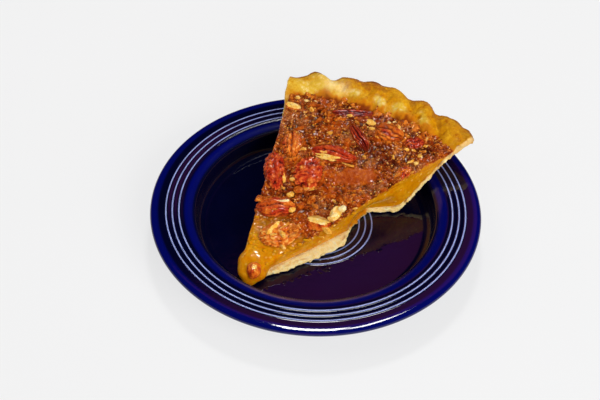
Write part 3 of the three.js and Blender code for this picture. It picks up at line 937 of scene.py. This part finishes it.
# Chunks that stand out on the top: place, size, heading, lift and tone, from 0 (dark) to 1 (pale).
CHUNKS = [
    ((-13.2, -2.6), (4.2, 3.4, 2.4), 20, 0.4, 0.85), ((-12.6, -9.4), (7.0, 1.8, 2.0), 32, 2.7, 0.98),
    ((-6.4, 3.5), (5.4, 2.0, 1.8), 33, 0.7, 0.72), ((7.9, 4.0), (3.4, 2.2, 1.8), 0, 0.4, 0.75),
    ((-3.3, 52.6), (6.2, 3.2, 1.8), -10, 0.3, 0.9), ((-0.3, 49.5), (4.0, 1.8, 1.6), 20, 0.3, 0.9),
    ((-31.9, 44.0), (4.0, 2.4, 1.8), -60, 0.3, 0.75), ((-25.0, 45.5), (3.4, 1.6, 1.6), -60, 0.3, 0.6),
    ((-21.5, 20.8), (3.6, 2.6, 1.8), 50, 0.3, 0.75), ((17.9, 38.8), (3.0, 2.2, 1.6), -60, 0.3, 0.8),
    ((28.4, 46.0), (3.6, 2.4, 1.8), -50, 0.3, 0.85), ((29.5, 41.5), (3.2, 2.0, 1.6), 30, 0.3, 0.9),
    ((-20.3, 3.3), (6.6, 1.8, 2.2), -60, 0.8, 0.8), ((-18.0, -1.6), (3.4, 1.6, 1.6), -20, 0.3, 0.7),
    ((13.8, -12.4), (5.6, 3.0, 2.2), 10, 0.6, 0.85), ((8.6, -13.2), (5.4, 2.4, 1.8), 8, 0.5, 0.45),
    ((-16.0, 35.9), (3.0, 2.2, 1.5), 15, 0.3, 0.7), ((-4.7, -4.9), (5.0, 4.2, 2.0), 40, 0.2, 0.5),
    ((0.8, -2.2), (4.6, 2.4, 1.6), -20, 0.2, 0.6), ((26.4, 40.6), (4.0, 1.8, 1.6), 60, 0.3, 0.85),
    ((-14.0, 50.3), (3.4, 1.8, 1.4), 30, 0.3, 0.8), ((-8.5, 49.0), (3.6, 1.8, 1.4), 0, 0.3, 0.65),
    ((20.8, 46.4), (2.8, 2.0, 1.6), 10, 0.3, 0.8), ((-41.5, 46.6), (3.0, 2.0, 1.6), 10, 0.4, 0.9),
    ((-37.6, 47.2), (2.6, 1.8, 1.4), 10, 0.4, 0.95), ((3.8, 57.6), (3.8, 2.2, 1.4), -20, 0.3, 0.95),
    ((9.2, 57.2), (3.0, 2.0, 1.4), -35, 0.3, 0.9), ((6.4, 59.0), (2.6, 1.6, 1.4), 40, 0.3, 0.95),
    ((-7.0, -24.4), (9.6, 2.6, 2.6), 80, 2.5, 0.84), ((-0.6, -26.2), (5.6, 2.2, 2.2), -28, 2.6, 0.8),
    ((0.6, -20.0), (5.6, 4.6, 2.6), 20, 2.2, 0.55), ((-3.4, -21.6), (6.0, 1.8, 2.0), 70, 2.6, 0.7),
    ((1.8, -30.8), (3.4, 2.4, 2.2), 10, 0.7, 0.75), ((-3.0, -31.4), (5.6, 2.2, 2.0), 5, 1.3, 0.6),
    ((-6.0, -10.8), (3.6, 2.6, 2.4), 30, 1.6, 0.8), ((-19.6, -17.4), (3.0, 2.0, 1.6), 60, 0.9, 0.25),
    ((18.4, 4.6), (2.8, 1.2, 1.4), 40, 0.3, 0.9), ((13.7, -16.0), (2.8, 1.2, 1.4), 20, 0.2, 0.8),
    ((26.8, 53.4), (3.6, 1.8, 1.6), 70, 0.4, 0.8), ((24.4, 47.6), (3.0, 1.8, 1.6), 20, 0.3, 0.75),
    ((-26.0, 47.0), (4.6, 1.6, 1.6), 60, 0.3, 0.3), ((-12.0, 37.6), (4.0, 1.6, 1.6), 30, 0.3, 0.35),
    ((13.2, 1.4), (4.6, 3.8, 3.2), 30, 1.2, 1.1), ((10.6, -0.8), (3.8, 2.8, 2.6), -70, 1.2, 0.94),
    ((12.4, -3.2), (4.2, 2.6, 2.8), 80, 1.2, 1.0), ((12.6, -6.0), (4.4, 2.6, 2.4), 0, 0.9, 0.9),
    ((-8.8, -27.6), (5.2, 1.8, 1.8), 60, 1.6, 0.7), ((-4.6, -27.6), (4.4, 1.8, 1.8), 30, 2.0, 0.9),
    ((2.4, -23.4), (5.4, 2.6, 2.0), 60, 1.9, 0.6), ((4.4, -19.4), (3.2, 2.4, 2.0), 60, 1.2, 0.5),
    ((-22.6, -13.4), (5.2, 4.0, 2.2), 70, 1.0, 0.55), ((-12.6, -15.0), (10.0, 2.6, 2.0), 32, 2.0, 0.6),
    ((-6.0, 5.2), (3.8, 1.6, 1.6), 0, 0.6, 0.8), ((-15.6, 4.6), (4.4, 2.0, 1.6), 20, 0.6, 0.8),
    ((-18.4, 8.6), (3.4, 1.8, 1.6), 60, 0.4, 0.65), ((1.8, 24.0), (7.6, 1.8, 1.8), 8, 0.5, 0.7),
    ((-33.0, 46.4), (6.2, 3.6, 2.2), 70, 0.4, 0.42), ((-28.3, 47.8), (5.4, 3.0, 2.0), 40, 0.4, 0.36),
    ((-16.6, 46.3), (6.4, 2.4, 1.8), 25, 0.3, 0.5), ((-10.0, 1.4), (6.4, 3.6, 2.0), 30, 0.4, 0.45),
    ((-2.8, -1.0), (5.8, 4.2, 2.0), 70, 0.4, 0.4), ((13.0, 13.2), (7.4, 2.8, 1.8), 35, 0.2, 0.42),
    ((11.6, 6.6), (6.0, 3.2, 1.8), -20, 0.2, 0.36), ((-13.7, 32.4), (5.6, 3.0, 1.8), 10, 0.3, 0.4),
    ((-30.1, 31.2), (5.8, 2.8, 1.8), 50, 0.3, 0.36), ((25.0, 19.8), (4.6, 2.4, 1.8), 60, 0.3, 0.5),
    ((25.6, 29.4), (4.8, 2.2, 1.6), 70, 0.3, 0.6), ((-25.8, 39.6), (6.6, 3.0, 1.8), 80, 0.2, 0.38),
    ((-6.6, 36.4), (5.0, 2.2, 1.6), 20, 0.3, 0.42), ((17.6, 26.8), (5.4, 2.4, 1.6), -10, 0.3, 0.4),
    ((4.6, 5.0), (6.6, 3.0, 1.8), 20, 0.3, 0.44), ((-19.4, 26.6), (5.0, 2.6, 1.8), -40, 0.3, 0.46),
    ((16.0, 45.6), (4.6, 2.0, 1.6), 50, 0.3, 0.4), ((27.6, 49.6), (3.8, 2.2, 1.8), 30, 0.4, 0.62),
]

# Beads and runs of clear syrup: place and size.
SYRUP_BEADS = [
    ((-3.1, -43.2), (3.6, 2.4, 1.8)), ((0.6, -41.3), (1.9, 1.6, 1.4)), ((-9.9, -39.2), (2.0, 1.6, 1.5)),
    ((-6.2, -38.8), (1.8, 1.3, 1.2)), ((4.4, -32.5), (2.2, 1.9, 1.5)), ((5.6, -28.7), (3.6, 1.8, 1.6)),
    ((9.4, -20.7), (4.6, 1.5, 1.4)), ((-12.4, -35.7), (2.6, 2.2, 2.0)), ((-12.9, -33.2), (2.2, 1.9, 1.8)),
    ((-9.2, -36.6), (3.0, 2.2, 1.8)), ((-14.2, -30.4), (2.2, 1.6, 1.5)), ((-10.0, -33.4), (3.4, 2.2, 1.6)),
    ((0.4, -34.0), (3.0, 2.2, 1.5)), ((-4.6, -35.8), (2.6, 2.0, 1.4)), ((7.6, -24.6), (2.6, 1.8, 1.5)),
    ((14.6, -9.6), (3.0, 1.6, 1.5)), ((19.6, 2.4), (2.4, 1.4, 1.4)), ((-18.4, -22.0), (2.6, 1.6, 1.5)),
]


def seats_on_the_edge(count):
    """Seats for small pieces that stick out of the cut just below its upper edge."""
    seats = []
    for along in random.uniform(44, 106, count):
        at = on_cut(1, along, -random.uniform(0.3, 1.6))
        size = random.uniform(0.9, 2.6) * np.array([1.0, 0.7, 0.6])
        heading, lift, tone = random.uniform(0, 360), random.uniform(-1.5, 0.0), random.uniform(0.3, 0.85)
        seats.append((at, size, heading, 0, lift, tone))
    return seats


# Loose chips on the top: how many, their smallest and largest size, and the tones between which they lie.
CHIPS = [
    (150, 0.9, 3.0, (0.0, 0.2)), (380, 1.3, 3.8, (0.15, 0.5)), (300, 0.8, 2.6, (0.5, 0.8)),
    (70, 0.8, 2.2, (0.8, 1.0)),
]


def make_chopped_nuts():
    chips = seats_on_the_edge(90)
    for kind in CHIPS:
        chips += random_seats(*kind, lift=-0.15)
    pieces = scatter("nut_chips", [lump_shape(seed, 6) for seed in range(8)], chips)
    dress(pieces, chopped_nut("chopped_nut"), "pecan")
    pieces.data.shade_flat()
    chunks = [(at, size, heading, 12, lift, tone) for at, size, heading, lift, tone in CHUNKS]
    pieces = scatter("nut_chunks", [lump_shape(seed, 4, 8) for seed in range(20, 26)], chunks)
    dress(pieces, chopped_nut("nut_chunk"), "pecan")


def make_beads():
    """Froth all over the top, and clear beads of syrup where the filling lies bare."""
    ball = [lump_shape(90, 0)]
    froth = [
        (at, (size[0], size[0], size[0] * 0.7), heading, 0, lift, tone)
        for at, size, heading, _, lift, tone in random_seats(1600, 0.3, 0.9, (0.15, 0.95))
    ]
    dress(scatter("syrup_froth", ball, froth), chopped_nut("froth"), "nut_layer")
    beads = [(at, size, 20, 0, 0.0, 0) for at, size in SYRUP_BEADS]
    dress(scatter("syrup_beads", [lump_shape(91, 0, 3)], beads), set_filling("clear_amber"), "filling")


# ---------------------------------------------------------------- materials
def colour(red, green, blue):
    """A colour given as it looks on a screen, 0 to 255, turned to light values."""
    shares = [channel / 255 for channel in (red, green, blue)]
    linear = [s / 12.92 if s <= 0.04045 else ((s + 0.055) / 1.055) ** 2.4 for s in shares]
    return (*linear, 1.0)


class Board:
    """A node tree with short calls to add nodes and join them."""

    def __init__(self, tree):
        self.tree = tree

    def feed(self, socket, value):
        if isinstance(value, bpy.types.NodeSocket):
            self.tree.links.new(value, socket)
        else:
            socket.default_value = value

    def add(self, kind, inputs=(), **settings):
        node = self.tree.nodes.new(kind)
        for key, value in settings.items():
            setattr(node, key, value)
        for key, value in dict(inputs).items():
            self.feed(node.inputs[key], value)
        return node

    def coordinates(self):
        return self.add("ShaderNodeTexCoord").outputs["Object"]

    def attribute(self, name):
        return self.add("ShaderNodeAttribute", attribute_name=name).outputs["Fac"]

    def math(self, operation, a, b=0.0, c=0.0):
        return self.add("ShaderNodeMath", {0: a, 1: b, 2: c}, operation=operation).outputs[0]

    def span(self, value, low, high, to_low=0.0, to_high=1.0):
        inputs = {"Value": value, "From Min": low, "From Max": high, "To Min": to_low, "To Max": to_high}
        return self.add("ShaderNodeMapRange", inputs, interpolation_type="SMOOTHSTEP").outputs["Result"]

    def mix(self, share, first, second):
        return self.add("ShaderNodeMix", {0: share, 6: first, 7: second}, data_type="RGBA").outputs[2]

    def noise(self, vector, scale, detail=4.0, roughness=0.55):
        inputs = {"Vector": vector, "Scale": scale, "Detail": detail, "Roughness": roughness}
        return self.add("ShaderNodeTexNoise", inputs).outputs["Fac"]

    def cells(self, vector, scale):
        return self.add("ShaderNodeTexVoronoi", {"Vector": vector, "Scale": scale}).outputs["Distance"]

    def group(self, tree, **inputs):
        return self.add("ShaderNodeGroup", inputs, node_tree=tree).outputs

    def bump(self, height, strength, distance):
        inputs = {"Height": height, "Strength": strength, "Distance": distance}
        return self.add("ShaderNodeBump", inputs).outputs["Normal"]

    def reach(self, vector, direction):
        inputs = {0: vector, 1: direction}
        return self.add("ShaderNodeVectorMath", inputs, operation="DOT_PRODUCT").outputs["Value"]


def new_material(name):
    """An empty material: its board, its shader and the object's own coordinates."""
    material = bpy.data.materials.new(name)
    material.use_nodes = True
    board = Board(material.node_tree)
    shader = material.node_tree.nodes["Principled BSDF"]
    return material, board, shader, board.coordinates()


def join_up(board, shader, **sockets):
    """Feeds the shader's sockets, named with _ for a space."""
    for key, value in sockets.items():
        board.feed(shader.inputs[key.replace("_", " ")], value)


def surface(board, shader, base, height, bump, cloud, roughness):
    """A colour, bumps of some strength and depth, and a roughness that follows a cloud."""
    join_up(board, shader, Base_Color=base, Normal=board.bump(height, *bump))
    join_up(board, shader, Roughness=board.span(cloud, 0.3, 0.7, *roughness))


def syrupy(board, shader, coat):
    """Little gloss of its own, under a clear coat of syrup."""
    join_up(board, shader, Specular_IOR_Level=0.12, Specular_Tint=(1.0, 0.66, 0.32, 1.0))
    join_up(board, shader, Coat_Weight=coat, Coat_Roughness=0.06)


def let_light_in(board, shader, weight, radius, scale):
    """Light sinks into the surface and comes out near by."""
    join_up(board, shader, Subsurface_Weight=weight, Subsurface_Radius=radius, Subsurface_Scale=scale)


def make_group(name, inputs, outputs):
    """A shared effect: a node group with named inputs and outputs, and the kind of each."""
    tree = bpy.data.node_groups.new(name, "ShaderNodeTree")
    for way, sockets in (("INPUT", inputs), ("OUTPUT", outputs)):
        for label, kind in sockets.items():
            tree.interface.new_socket(label, in_out=way, socket_type="NodeSocket" + kind)
    board = Board(tree)
    return tree, board, board.add("NodeGroupInput").outputs, board.add("NodeGroupOutput")


def speckle_group():
    """Small round specks at a given size and share of the cells."""
    inputs = {"Place": "Vector", "Scale": "Float", "Share": "Float"}
    tree, board, given, result = make_group("specks", inputs, {"Mask": "Float"})
    cell = board.add("ShaderNodeTexVoronoi", {"Vector": given["Place"], "Scale": given["Scale"]})
    chosen = board.add("ShaderNodeSeparateColor", {"Color": cell.outputs["Color"]}).outputs[0]
    picked = board.math("LESS_THAN", chosen, given["Share"])
    spot = board.span(cell.outputs["Distance"], 0.42, 0.22)
    tree.links.new(board.math("MULTIPLY", picked, spot), result.inputs["Mask"])
    return tree


def mottle_group():
    """Uneven browning: two sizes of cloud between three colours."""
    inputs = {"Place": "Vector", "Scale": "Float", "Dark": "Color", "Middle": "Color", "Light": "Color"}
    outputs = {"Color": "Color", "Cloud": "Float"}
    tree, board, given, result = make_group("mottled_browning", inputs, outputs)
    broad = board.noise(given["Place"], given["Scale"], 3.0)
    fine = board.noise(given["Place"], board.math("MULTIPLY", given["Scale"], 4.3), 3.0)
    cloud = board.math("MULTIPLY_ADD", fine, 0.45, board.math("MULTIPLY", broad, 0.55))
    low = board.mix(board.span(cloud, 0.34, 0.50), given["Dark"], given["Middle"])
    tree.links.new(board.mix(board.span(cloud, 0.50, 0.66), low, given["Light"]), result.inputs["Color"])
    tree.links.new(cloud, result.inputs["Cloud"])
    return tree


SPECKS = speckle_group()
MOTTLE = mottle_group()


def mottled(board, place, scale, dark, middle, light):
    """The mottled browning between three colours, each as it looks on a screen."""
    return board.group(
        MOTTLE, Place=place, Scale=scale, Dark=colour(*dark), Middle=colour(*middle), Light=colour(*light)
    )


def specks(board, place, scale, share):
    return board.group(SPECKS, Place=place, Scale=scale, Share=share)["Mask"]


def ring_mask(board, radius, rings, half_width):
    """1 on the crest of each ring, fading to 0 at its foot."""
    best = None
    for ring in rings:
        away = board.math("ABSOLUTE", board.math("SUBTRACT", radius, ring * MM))
        crest = board.span(away, half_width * MM, half_width * MM * 0.35)
        best = crest if best is None else board.math("MAXIMUM", best, crest)
    return best


def glazed_stoneware():
    """Deep cobalt glaze that breaks pale over the raised rings, with a painted sheen: a brighter blue band on
    the shoulder and just inside the lip.
    """
    material, board, shader, place = new_material("cobalt_glaze")
    split = board.add("ShaderNodeSeparateXYZ", {"Vector": place}).outputs
    level = board.add("ShaderNodeCombineXYZ", {"X": split["X"], "Y": split["Y"]}).outputs[0]
    radius = board.add("ShaderNodeVectorMath", {0: level}, operation="LENGTH").outputs["Value"]
    above = board.span(split["Z"], 6.2 * MM, 6.5 * MM)
    rings = board.math("MULTIPLY", ring_mask(board, radius, RIM_RINGS + WELL_RINGS, 0.46), above)
    body = board.mix(board.noise(place, 90.0), colour(1, 2, 24), colour(3, 5, 38))
    # Painted sheen: a brighter blue band on the shoulder and just inside the lip, where the glaze catches
    # light.
    shoulder = ring_mask(board, radius, (60.0, 76.2), 2.8)
    blue = board.mix(board.math("MULTIPLY", shoulder, 0.85), body, colour(3, 9, 96))
    worn = board.math("MULTIPLY", rings, board.span(board.noise(place, 260.0), 0.2, 0.6, 0.75, 1.0))
    base = board.mix(worn, blue, colour(148, 162, 220))
    orange_peel = board.bump(board.noise(place, 420.0, 2.0), 0.04, 0.0003)
    join_up(board, shader, Base_Color=base, Normal=orange_peel)
    smooth = board.span(board.noise(place, 150.0), 0.3, 0.7, 0.03, 0.06)
    walled = board.math("MULTIPLY_ADD", ring_mask(board, radius, (56.5,), 7.0), 0.1, smooth)
    join_up(board, shader, Roughness=board.math("MULTIPLY_ADD", rings, 0.35, walled))
    thin = board.math("MULTIPLY_ADD", ring_mask(board, radius, (52.1, 61.1), 1.5), -0.44, 0.5)
    join_up(board, shader, Specular_IOR_Level=thin)
    return material


def baked_pastry():
    """Short pastry: cream where cut, pale inside the rim, golden outside and brown on the crests, with
    painted shade in the creases between the crimps and cream spots of painted highlight.
    """
    material, board, shader, place = new_material("baked_pastry")
    brown, edge, bare, stained = (board.attribute(name) for name in ("brown", "edge", "bare", "stained"))
    pale = mottled(board, place, 160.0, (212, 152, 20), (226, 180, 56), (242, 214, 134))
    golden = mottled(board, place, 190.0, (178, 98, 1), (206, 138, 5), (228, 168, 26))
    crumb = mottled(board, place, 420.0, (244, 196, 108), (255, 224, 152), (255, 242, 196))
    # The brown mark also holds painted shade in the creases and painted highlights at the paler spots.
    skin = board.mix(board.span(brown, 0.05, 0.55), pale["Color"], golden["Color"])
    toasted = board.mix(board.span(brown, 0.86, 1.2), skin, colour(136, 68, 10))
    edged = board.mix(board.math("MULTIPLY", edge, 0.85), toasted, colour(126, 62, 10))
    soaked = board.mix(board.span(stained, 0.05, 0.55), edged, colour(204, 122, 12))
    seared = board.mix(board.span(stained, 0.5, 1.0), soaked, colour(132, 50, 6))
    # The bare mark gives the crumb's colour to the cut faces and to the cream spots of painted highlight.
    base = board.mix(bare, seared, crumb["Color"])
    grain = board.noise(place, 1500.0, 5.0, 0.6)
    height = board.math("MULTIPLY_ADD", board.cells(place, 700.0), 0.5, grain)
    surface(board, shader, base, height, (0.5, 0.0004), golden["Cloud"], (0.42, 0.62))
    join_up(board, shader, Specular_IOR_Level=0.16, Specular_Tint=(1.0, 0.75, 0.4, 1.0))
    let_light_in(board, shader, 0.1, (1.0, 0.6, 0.25), 0.002)
    return material


def set_filling(name):
    """Set amber syrup: clear, glossy and full of tiny bubbles."""
    material, board, shader, place = new_material(name)
    amber = mottled(board, place, 110.0, (202, 116, 1), (218, 138, 4), (234, 162, 24))
    bubbles = specks(board, place, 520.0, 0.16)
    stretched = board.add("ShaderNodeVectorMath", {0: place, 1: (1, 1, 3)}, operation="MULTIPLY").outputs[0]
    drag = board.noise(stretched, 330.0, 3.0)
    streaked = board.mix(board.span(drag, 0.56, 0.70, 0.0, 0.5), amber["Color"], colour(188, 110, 6))
    base = board.mix(board.math("MULTIPLY", bubbles, 0.5), streaked, colour(240, 190, 86))
    height = board.math("MULTIPLY_ADD", bubbles, 0.8, drag)
    surface(board, shader, base, height, (0.25, 0.0005), drag, (0.14, 0.30))
    syrupy(board, shader, 0.7)
    let_light_in(board, shader, 0.45, (1.0, 0.45, 0.08), 0.004)
    return material


def caramel_top():
    """Baked caramel skin: red-brown, blistered and glossy, clearing to amber near the point, with painted
    shade in its hollows and round the nuts and painted highlight on its crests.
    """
    material, board, shader, place = new_material("caramel_top")
    relief, gel, nut_edge_shade = (board.attribute(name) for name in ("relief", "gel", "nut_edge_shade"))
    calm, scorched, froth = (board.attribute(name) for name in ("calm", "scorched", "froth"))
    skin = mottled(board, place, 330.0, (66, 13, 2), (144, 49, 5), (226, 122, 28))
    clear = mottled(board, place, 320.0, (140, 40, 2), (178, 70, 4), (212, 106, 14))
    burnt = mottled(board, place, 290.0, (44, 7, 3), (88, 22, 6), (156, 60, 14))
    foam = mottled(board, place, 520.0, (92, 36, 10), (158, 82, 36), (222, 150, 90))
    amber = mottled(board, place, 150.0, (184, 102, 2), (208, 130, 8), (228, 158, 34))
    scorch = board.mix(scorched, skin["Color"], burnt["Color"])
    frothy = board.mix(froth, scorch, foam["Color"])
    calmed = board.mix(calm, frothy, clear["Color"])
    # Painted shade in the hollows of the relief, and painted highlight on its crests.
    low = board.mix(board.span(relief, 0.38, 0.06, 0.0, 0.85), calmed, colour(60, 14, 3))
    crest = board.mix(board.span(relief, 0.60, 0.95, 0.0, 0.85), low, colour(230, 128, 36))
    # Painted shadow round the edge of each large nut.
    ringed = board.mix(board.math("MULTIPLY", nut_edge_shade, 0.3), crest, colour(74, 18, 3))
    busy = board.math("SUBTRACT", 1.0, calm)
    dark = board.math("MULTIPLY", specks(board, place, 620.0, 0.25), busy)
    pitted = board.mix(board.math("MULTIPLY", dark, 0.8), ringed, colour(56, 14, 4))
    # Pale flecks, partly crumbs of nut and partly painted glints.
    flecks = board.math("MULTIPLY", specks(board, place, 800.0, 0.3), busy)
    flecked = board.mix(board.math("MULTIPLY", flecks, 0.75), pitted, colour(246, 166, 76))
    base = board.mix(gel, flecked, amber["Color"])
    height = board.math("MULTIPLY_ADD", flecks, 0.7, board.noise(place, 600.0, 1.5, 0.5))
    surface(board, shader, base, height, (0.4, 0.0005), skin["Cloud"], (0.16, 0.34))
    syrupy(board, shader, 0.45)
    let_light_in(board, shader, 0.1, (1.0, 0.4, 0.08), 0.002)
    return material


def pecan_skin():
    """Toasted pecan under a thin syrup: red to orange skin, golden breaks, painted shade in the furrows and
    painted highlight on the crests.
    """
    material, board, shader, place = new_material("toasted_pecan")
    furrow, flesh, red, syrup = (board.attribute(name) for name in ("furrow", "flesh", "red", "syrup"))
    orange = mottled(board, place, 340.0, (176, 70, 8), (222, 108, 24), (244, 156, 56))
    ruddy = mottled(board, place, 340.0, (112, 16, 8), (180, 44, 18), (224, 92, 38))
    golden = mottled(board, place, 420.0, (240, 164, 48), (253, 206, 98), (255, 238, 174))
    redness = board.span(red, 0.1, 0.8)
    skin = board.mix(redness, orange["Color"], ruddy["Color"])
    # Painted highlight on the crests and painted shade in the furrows.
    painted_crest_highlight = board.mix(redness, colour(250, 176, 80), colour(236, 106, 44))
    crested = board.mix(board.span(furrow, 0.42, 0.05), skin, painted_crest_highlight)
    hollow = board.mix(redness, colour(132, 44, 6), colour(84, 10, 10))
    lined = board.mix(board.span(furrow, 0.60, 0.98), crested, hollow)
    crack = board.span(board.noise(place, 700.0, 3.0), 0.62, 0.72)
    cracked = board.mix(crack, golden["Color"], colour(176, 92, 22))
    broken = board.mix(flesh, lined, cracked)
    base = board.mix(board.math("MULTIPLY", syrup, 0.55), broken, colour(142, 60, 8))
    grain = board.noise(place, 900.0, 2.0, 0.6)
    surface(board, shader, base, grain, (0.35, 0.0004), orange["Cloud"], (0.22, 0.40))
    syrupy(board, shader, 0.5)
    return material


def chopped_nut(name):
    """Glazed chopped nuts, from dark scorched skin to pale broken flesh by each one's tone."""
    material, board, shader, place = new_material(name)
    tone = board.attribute("tone")
    scorched = mottled(board, place, 520.0, (44, 8, 3), (104, 32, 8), (176, 80, 24))
    toasted = mottled(board, place, 520.0, (104, 26, 3), (190, 82, 10), (250, 164, 56))
    broken = mottled(board, place, 520.0, (206, 112, 16), (248, 182, 66), (255, 228, 148))
    cream = mottled(board, place, 520.0, (240, 186, 92), (255, 232, 162), (255, 250, 220))
    browned = board.mix(board.span(tone, 0.05, 0.55), scorched["Color"], toasted["Color"])
    golden = board.mix(board.span(tone, 0.5, 0.85), browned, broken["Color"])
    base = board.mix(board.span(tone, 0.88, 1.0), golden, cream["Color"])
    grain = board.noise(place, 1100.0, 2.0)
    surface(board, shader, base, grain, (0.35, 0.0003), scorched["Cloud"], (0.26, 0.46))
    syrupy(board, shader, 0.5)
    return material


# ---------------------------------------------------------------- floor, light and camera
AIM = Vector((-7.762, -1.905, 19.038)) * MM
AZIMUTH, ELEVATION, ROLL = 32.85, 45.29, 1.561
CAMERA_DISTANCE = 0.91755
LENS = 116.9
FLOOR_RADIUS = 3.0
FLOOR_DROP = 0.0002

# The studio tent: what the camera and matt surfaces see of it, and then the parts that gloss mirrors.
WHITE = (0.88, 0.88, 0.88, 1)
PALE = (0.25, 0.25, 0.26, 1)
DIM = (0.004, 0.004, 0.012, 1)
PLUM_SCREEN = (0.36, 0.06, 0.34, 1)
ROSE_BAND = (0.62, 0.42, 0.42, 1)
WARM_GLOW = (1.7, 0.9, 0.75, 1)
HORIZON = (0.42, 0.41, 0.43, 1)

# Softboxes: name, azimuth, elevation, distance, width and height, power, and whether gloss mirrors it.
SOFTBOXES = [
    ("key", 212.4, 62.5, 1.1, (0.12, 0.18), 3.0, True),
    ("side_key", 200, 61, 1.1, (0.065, 0.18), 1.1, True),
    ("front_fill", 66, 28, 1.3, (0.9, 0.9), 14.5, False),
    ("left_fill", -50, 50, 1.4, (0.8, 0.8), 2.5, False),
]


def towards(azimuth, elevation):
    """The direction, from the plate, of what stands at this azimuth and elevation in degrees."""
    azimuth, elevation = math.radians(azimuth), math.radians(elevation)
    level = math.cos(elevation)
    return Vector((math.sin(azimuth) * level, -math.cos(azimuth) * level, math.sin(elevation)))


def add_camera():
    camera = bpy.data.objects.new("camera", bpy.data.cameras.new("camera"))
    bpy.context.scene.collection.objects.link(camera)
    back = towards(AZIMUTH, ELEVATION)
    camera.location = AIM + back * CAMERA_DISTANCE
    camera.rotation_mode = "QUATERNION"
    camera.rotation_quaternion = (-back).to_track_quat("-Z", "Y") @ Quaternion((0, 0, 1), math.radians(ROLL))
    camera.data.lens = LENS
    camera.data.clip_start = 0.01
    bpy.context.scene.camera = camera


def add_softbox(name, azimuth, elevation, distance, size, power, shines_in_gloss):
    """A softbox of this width and height that faces the plate from this direction."""
    lamp = bpy.data.lights.new(name, "AREA")
    lamp.shape = "RECTANGLE"
    lamp.size, lamp.size_y = size
    lamp.energy = power
    box = bpy.data.objects.new(name, lamp)
    bpy.context.scene.collection.objects.link(box)
    direction = towards(azimuth, elevation)
    box.location = direction * distance
    box.rotation_euler = direction.to_track_quat("Z", "Y").to_euler()
    box.visible_glossy = shines_in_gloss


def add_room():
    """A tent: white to the camera, pale to matt surfaces, dim with a screen and low bands to glossy ones."""
    world = bpy.data.worlds.new("studio")
    bpy.context.scene.world = world
    world.use_nodes = True
    board = Board(world.node_tree)
    ray = board.add("ShaderNodeLightPath").outputs
    direction = board.add("ShaderNodeTexCoord").outputs["Generated"]
    edge = board.reach(direction, (0.735, -0.3, 0.608))
    sideways = board.math("ABSOLUTE", board.reach(direction, (-0.84, -0.54, 0)))
    height = board.add("ShaderNodeSeparateXYZ", {"Vector": direction}).outputs["Z"]
    lit = board.math("MULTIPLY", board.span(sideways, 0.24, 0.18), board.span(height, 0.80, 0.77))
    screen = board.math("MULTIPLY", board.span(edge, -0.02, 0.02), lit)
    dim = board.mix(screen, DIM, PLUM_SCREEN)
    warm = board.mix(board.span(height, 0.32, 0.08), dim, ROSE_BAND)
    behind = board.reach(direction, (-0.54, 0.84, 0))
    low = board.math("MULTIPLY", board.span(height, 0.22, 0.15), board.span(behind, 0.2, 0.7))
    banded = board.mix(low, warm, WARM_GLOW)
    glossy = board.mix(board.span(height, 0.10, 0.06), banded, HORIZON)
    matt = board.mix(ray["Is Glossy Ray"], PALE, glossy)
    seen = board.mix(ray["Is Camera Ray"], matt, WHITE)
    world.node_tree.links.new(seen, world.node_tree.nodes["Background"].inputs["Color"])


def add_floor():
    """A plain pale table top that is bright enough to hold only a faint shadow."""
    deselect()
    seat = (0, 0, -FLOOR_DROP)
    bpy.ops.mesh.primitive_circle_add(vertices=96, radius=FLOOR_RADIUS, fill_type="NGON", location=seat)
    floor = named("floor")
    material, board, shader, place = new_material("pale_table")
    tone = board.mix(board.noise(place, 6.0), (0.195, 0.195, 0.195, 1), (0.205, 0.205, 0.205, 1))
    join_up(board, shader, Base_Color=tone, Roughness=0.9, Specular_IOR_Level=0.0)
    join_up(board, shader, Emission_Color=(1, 1, 1, 1), Emission_Strength=0.70)
    floor.data.materials.append(material)


def set_stage():
    add_camera()
    add_room()
    add_floor()
    for softbox in SOFTBOXES:
        add_softbox(*softbox)
    bpy.context.scene.view_settings.view_transform = "Standard"


# ---------------------------------------------------------------- the whole
PECAN_MATERIAL = pecan_skin()

set_stage()
make_plate()
make_pastry()
make_filling()
make_nut_layer()
for number, (node, look) in enumerate(PECANS.items()):
    make_pecan(node, number, look)
make_chopped_nuts()
make_beads()
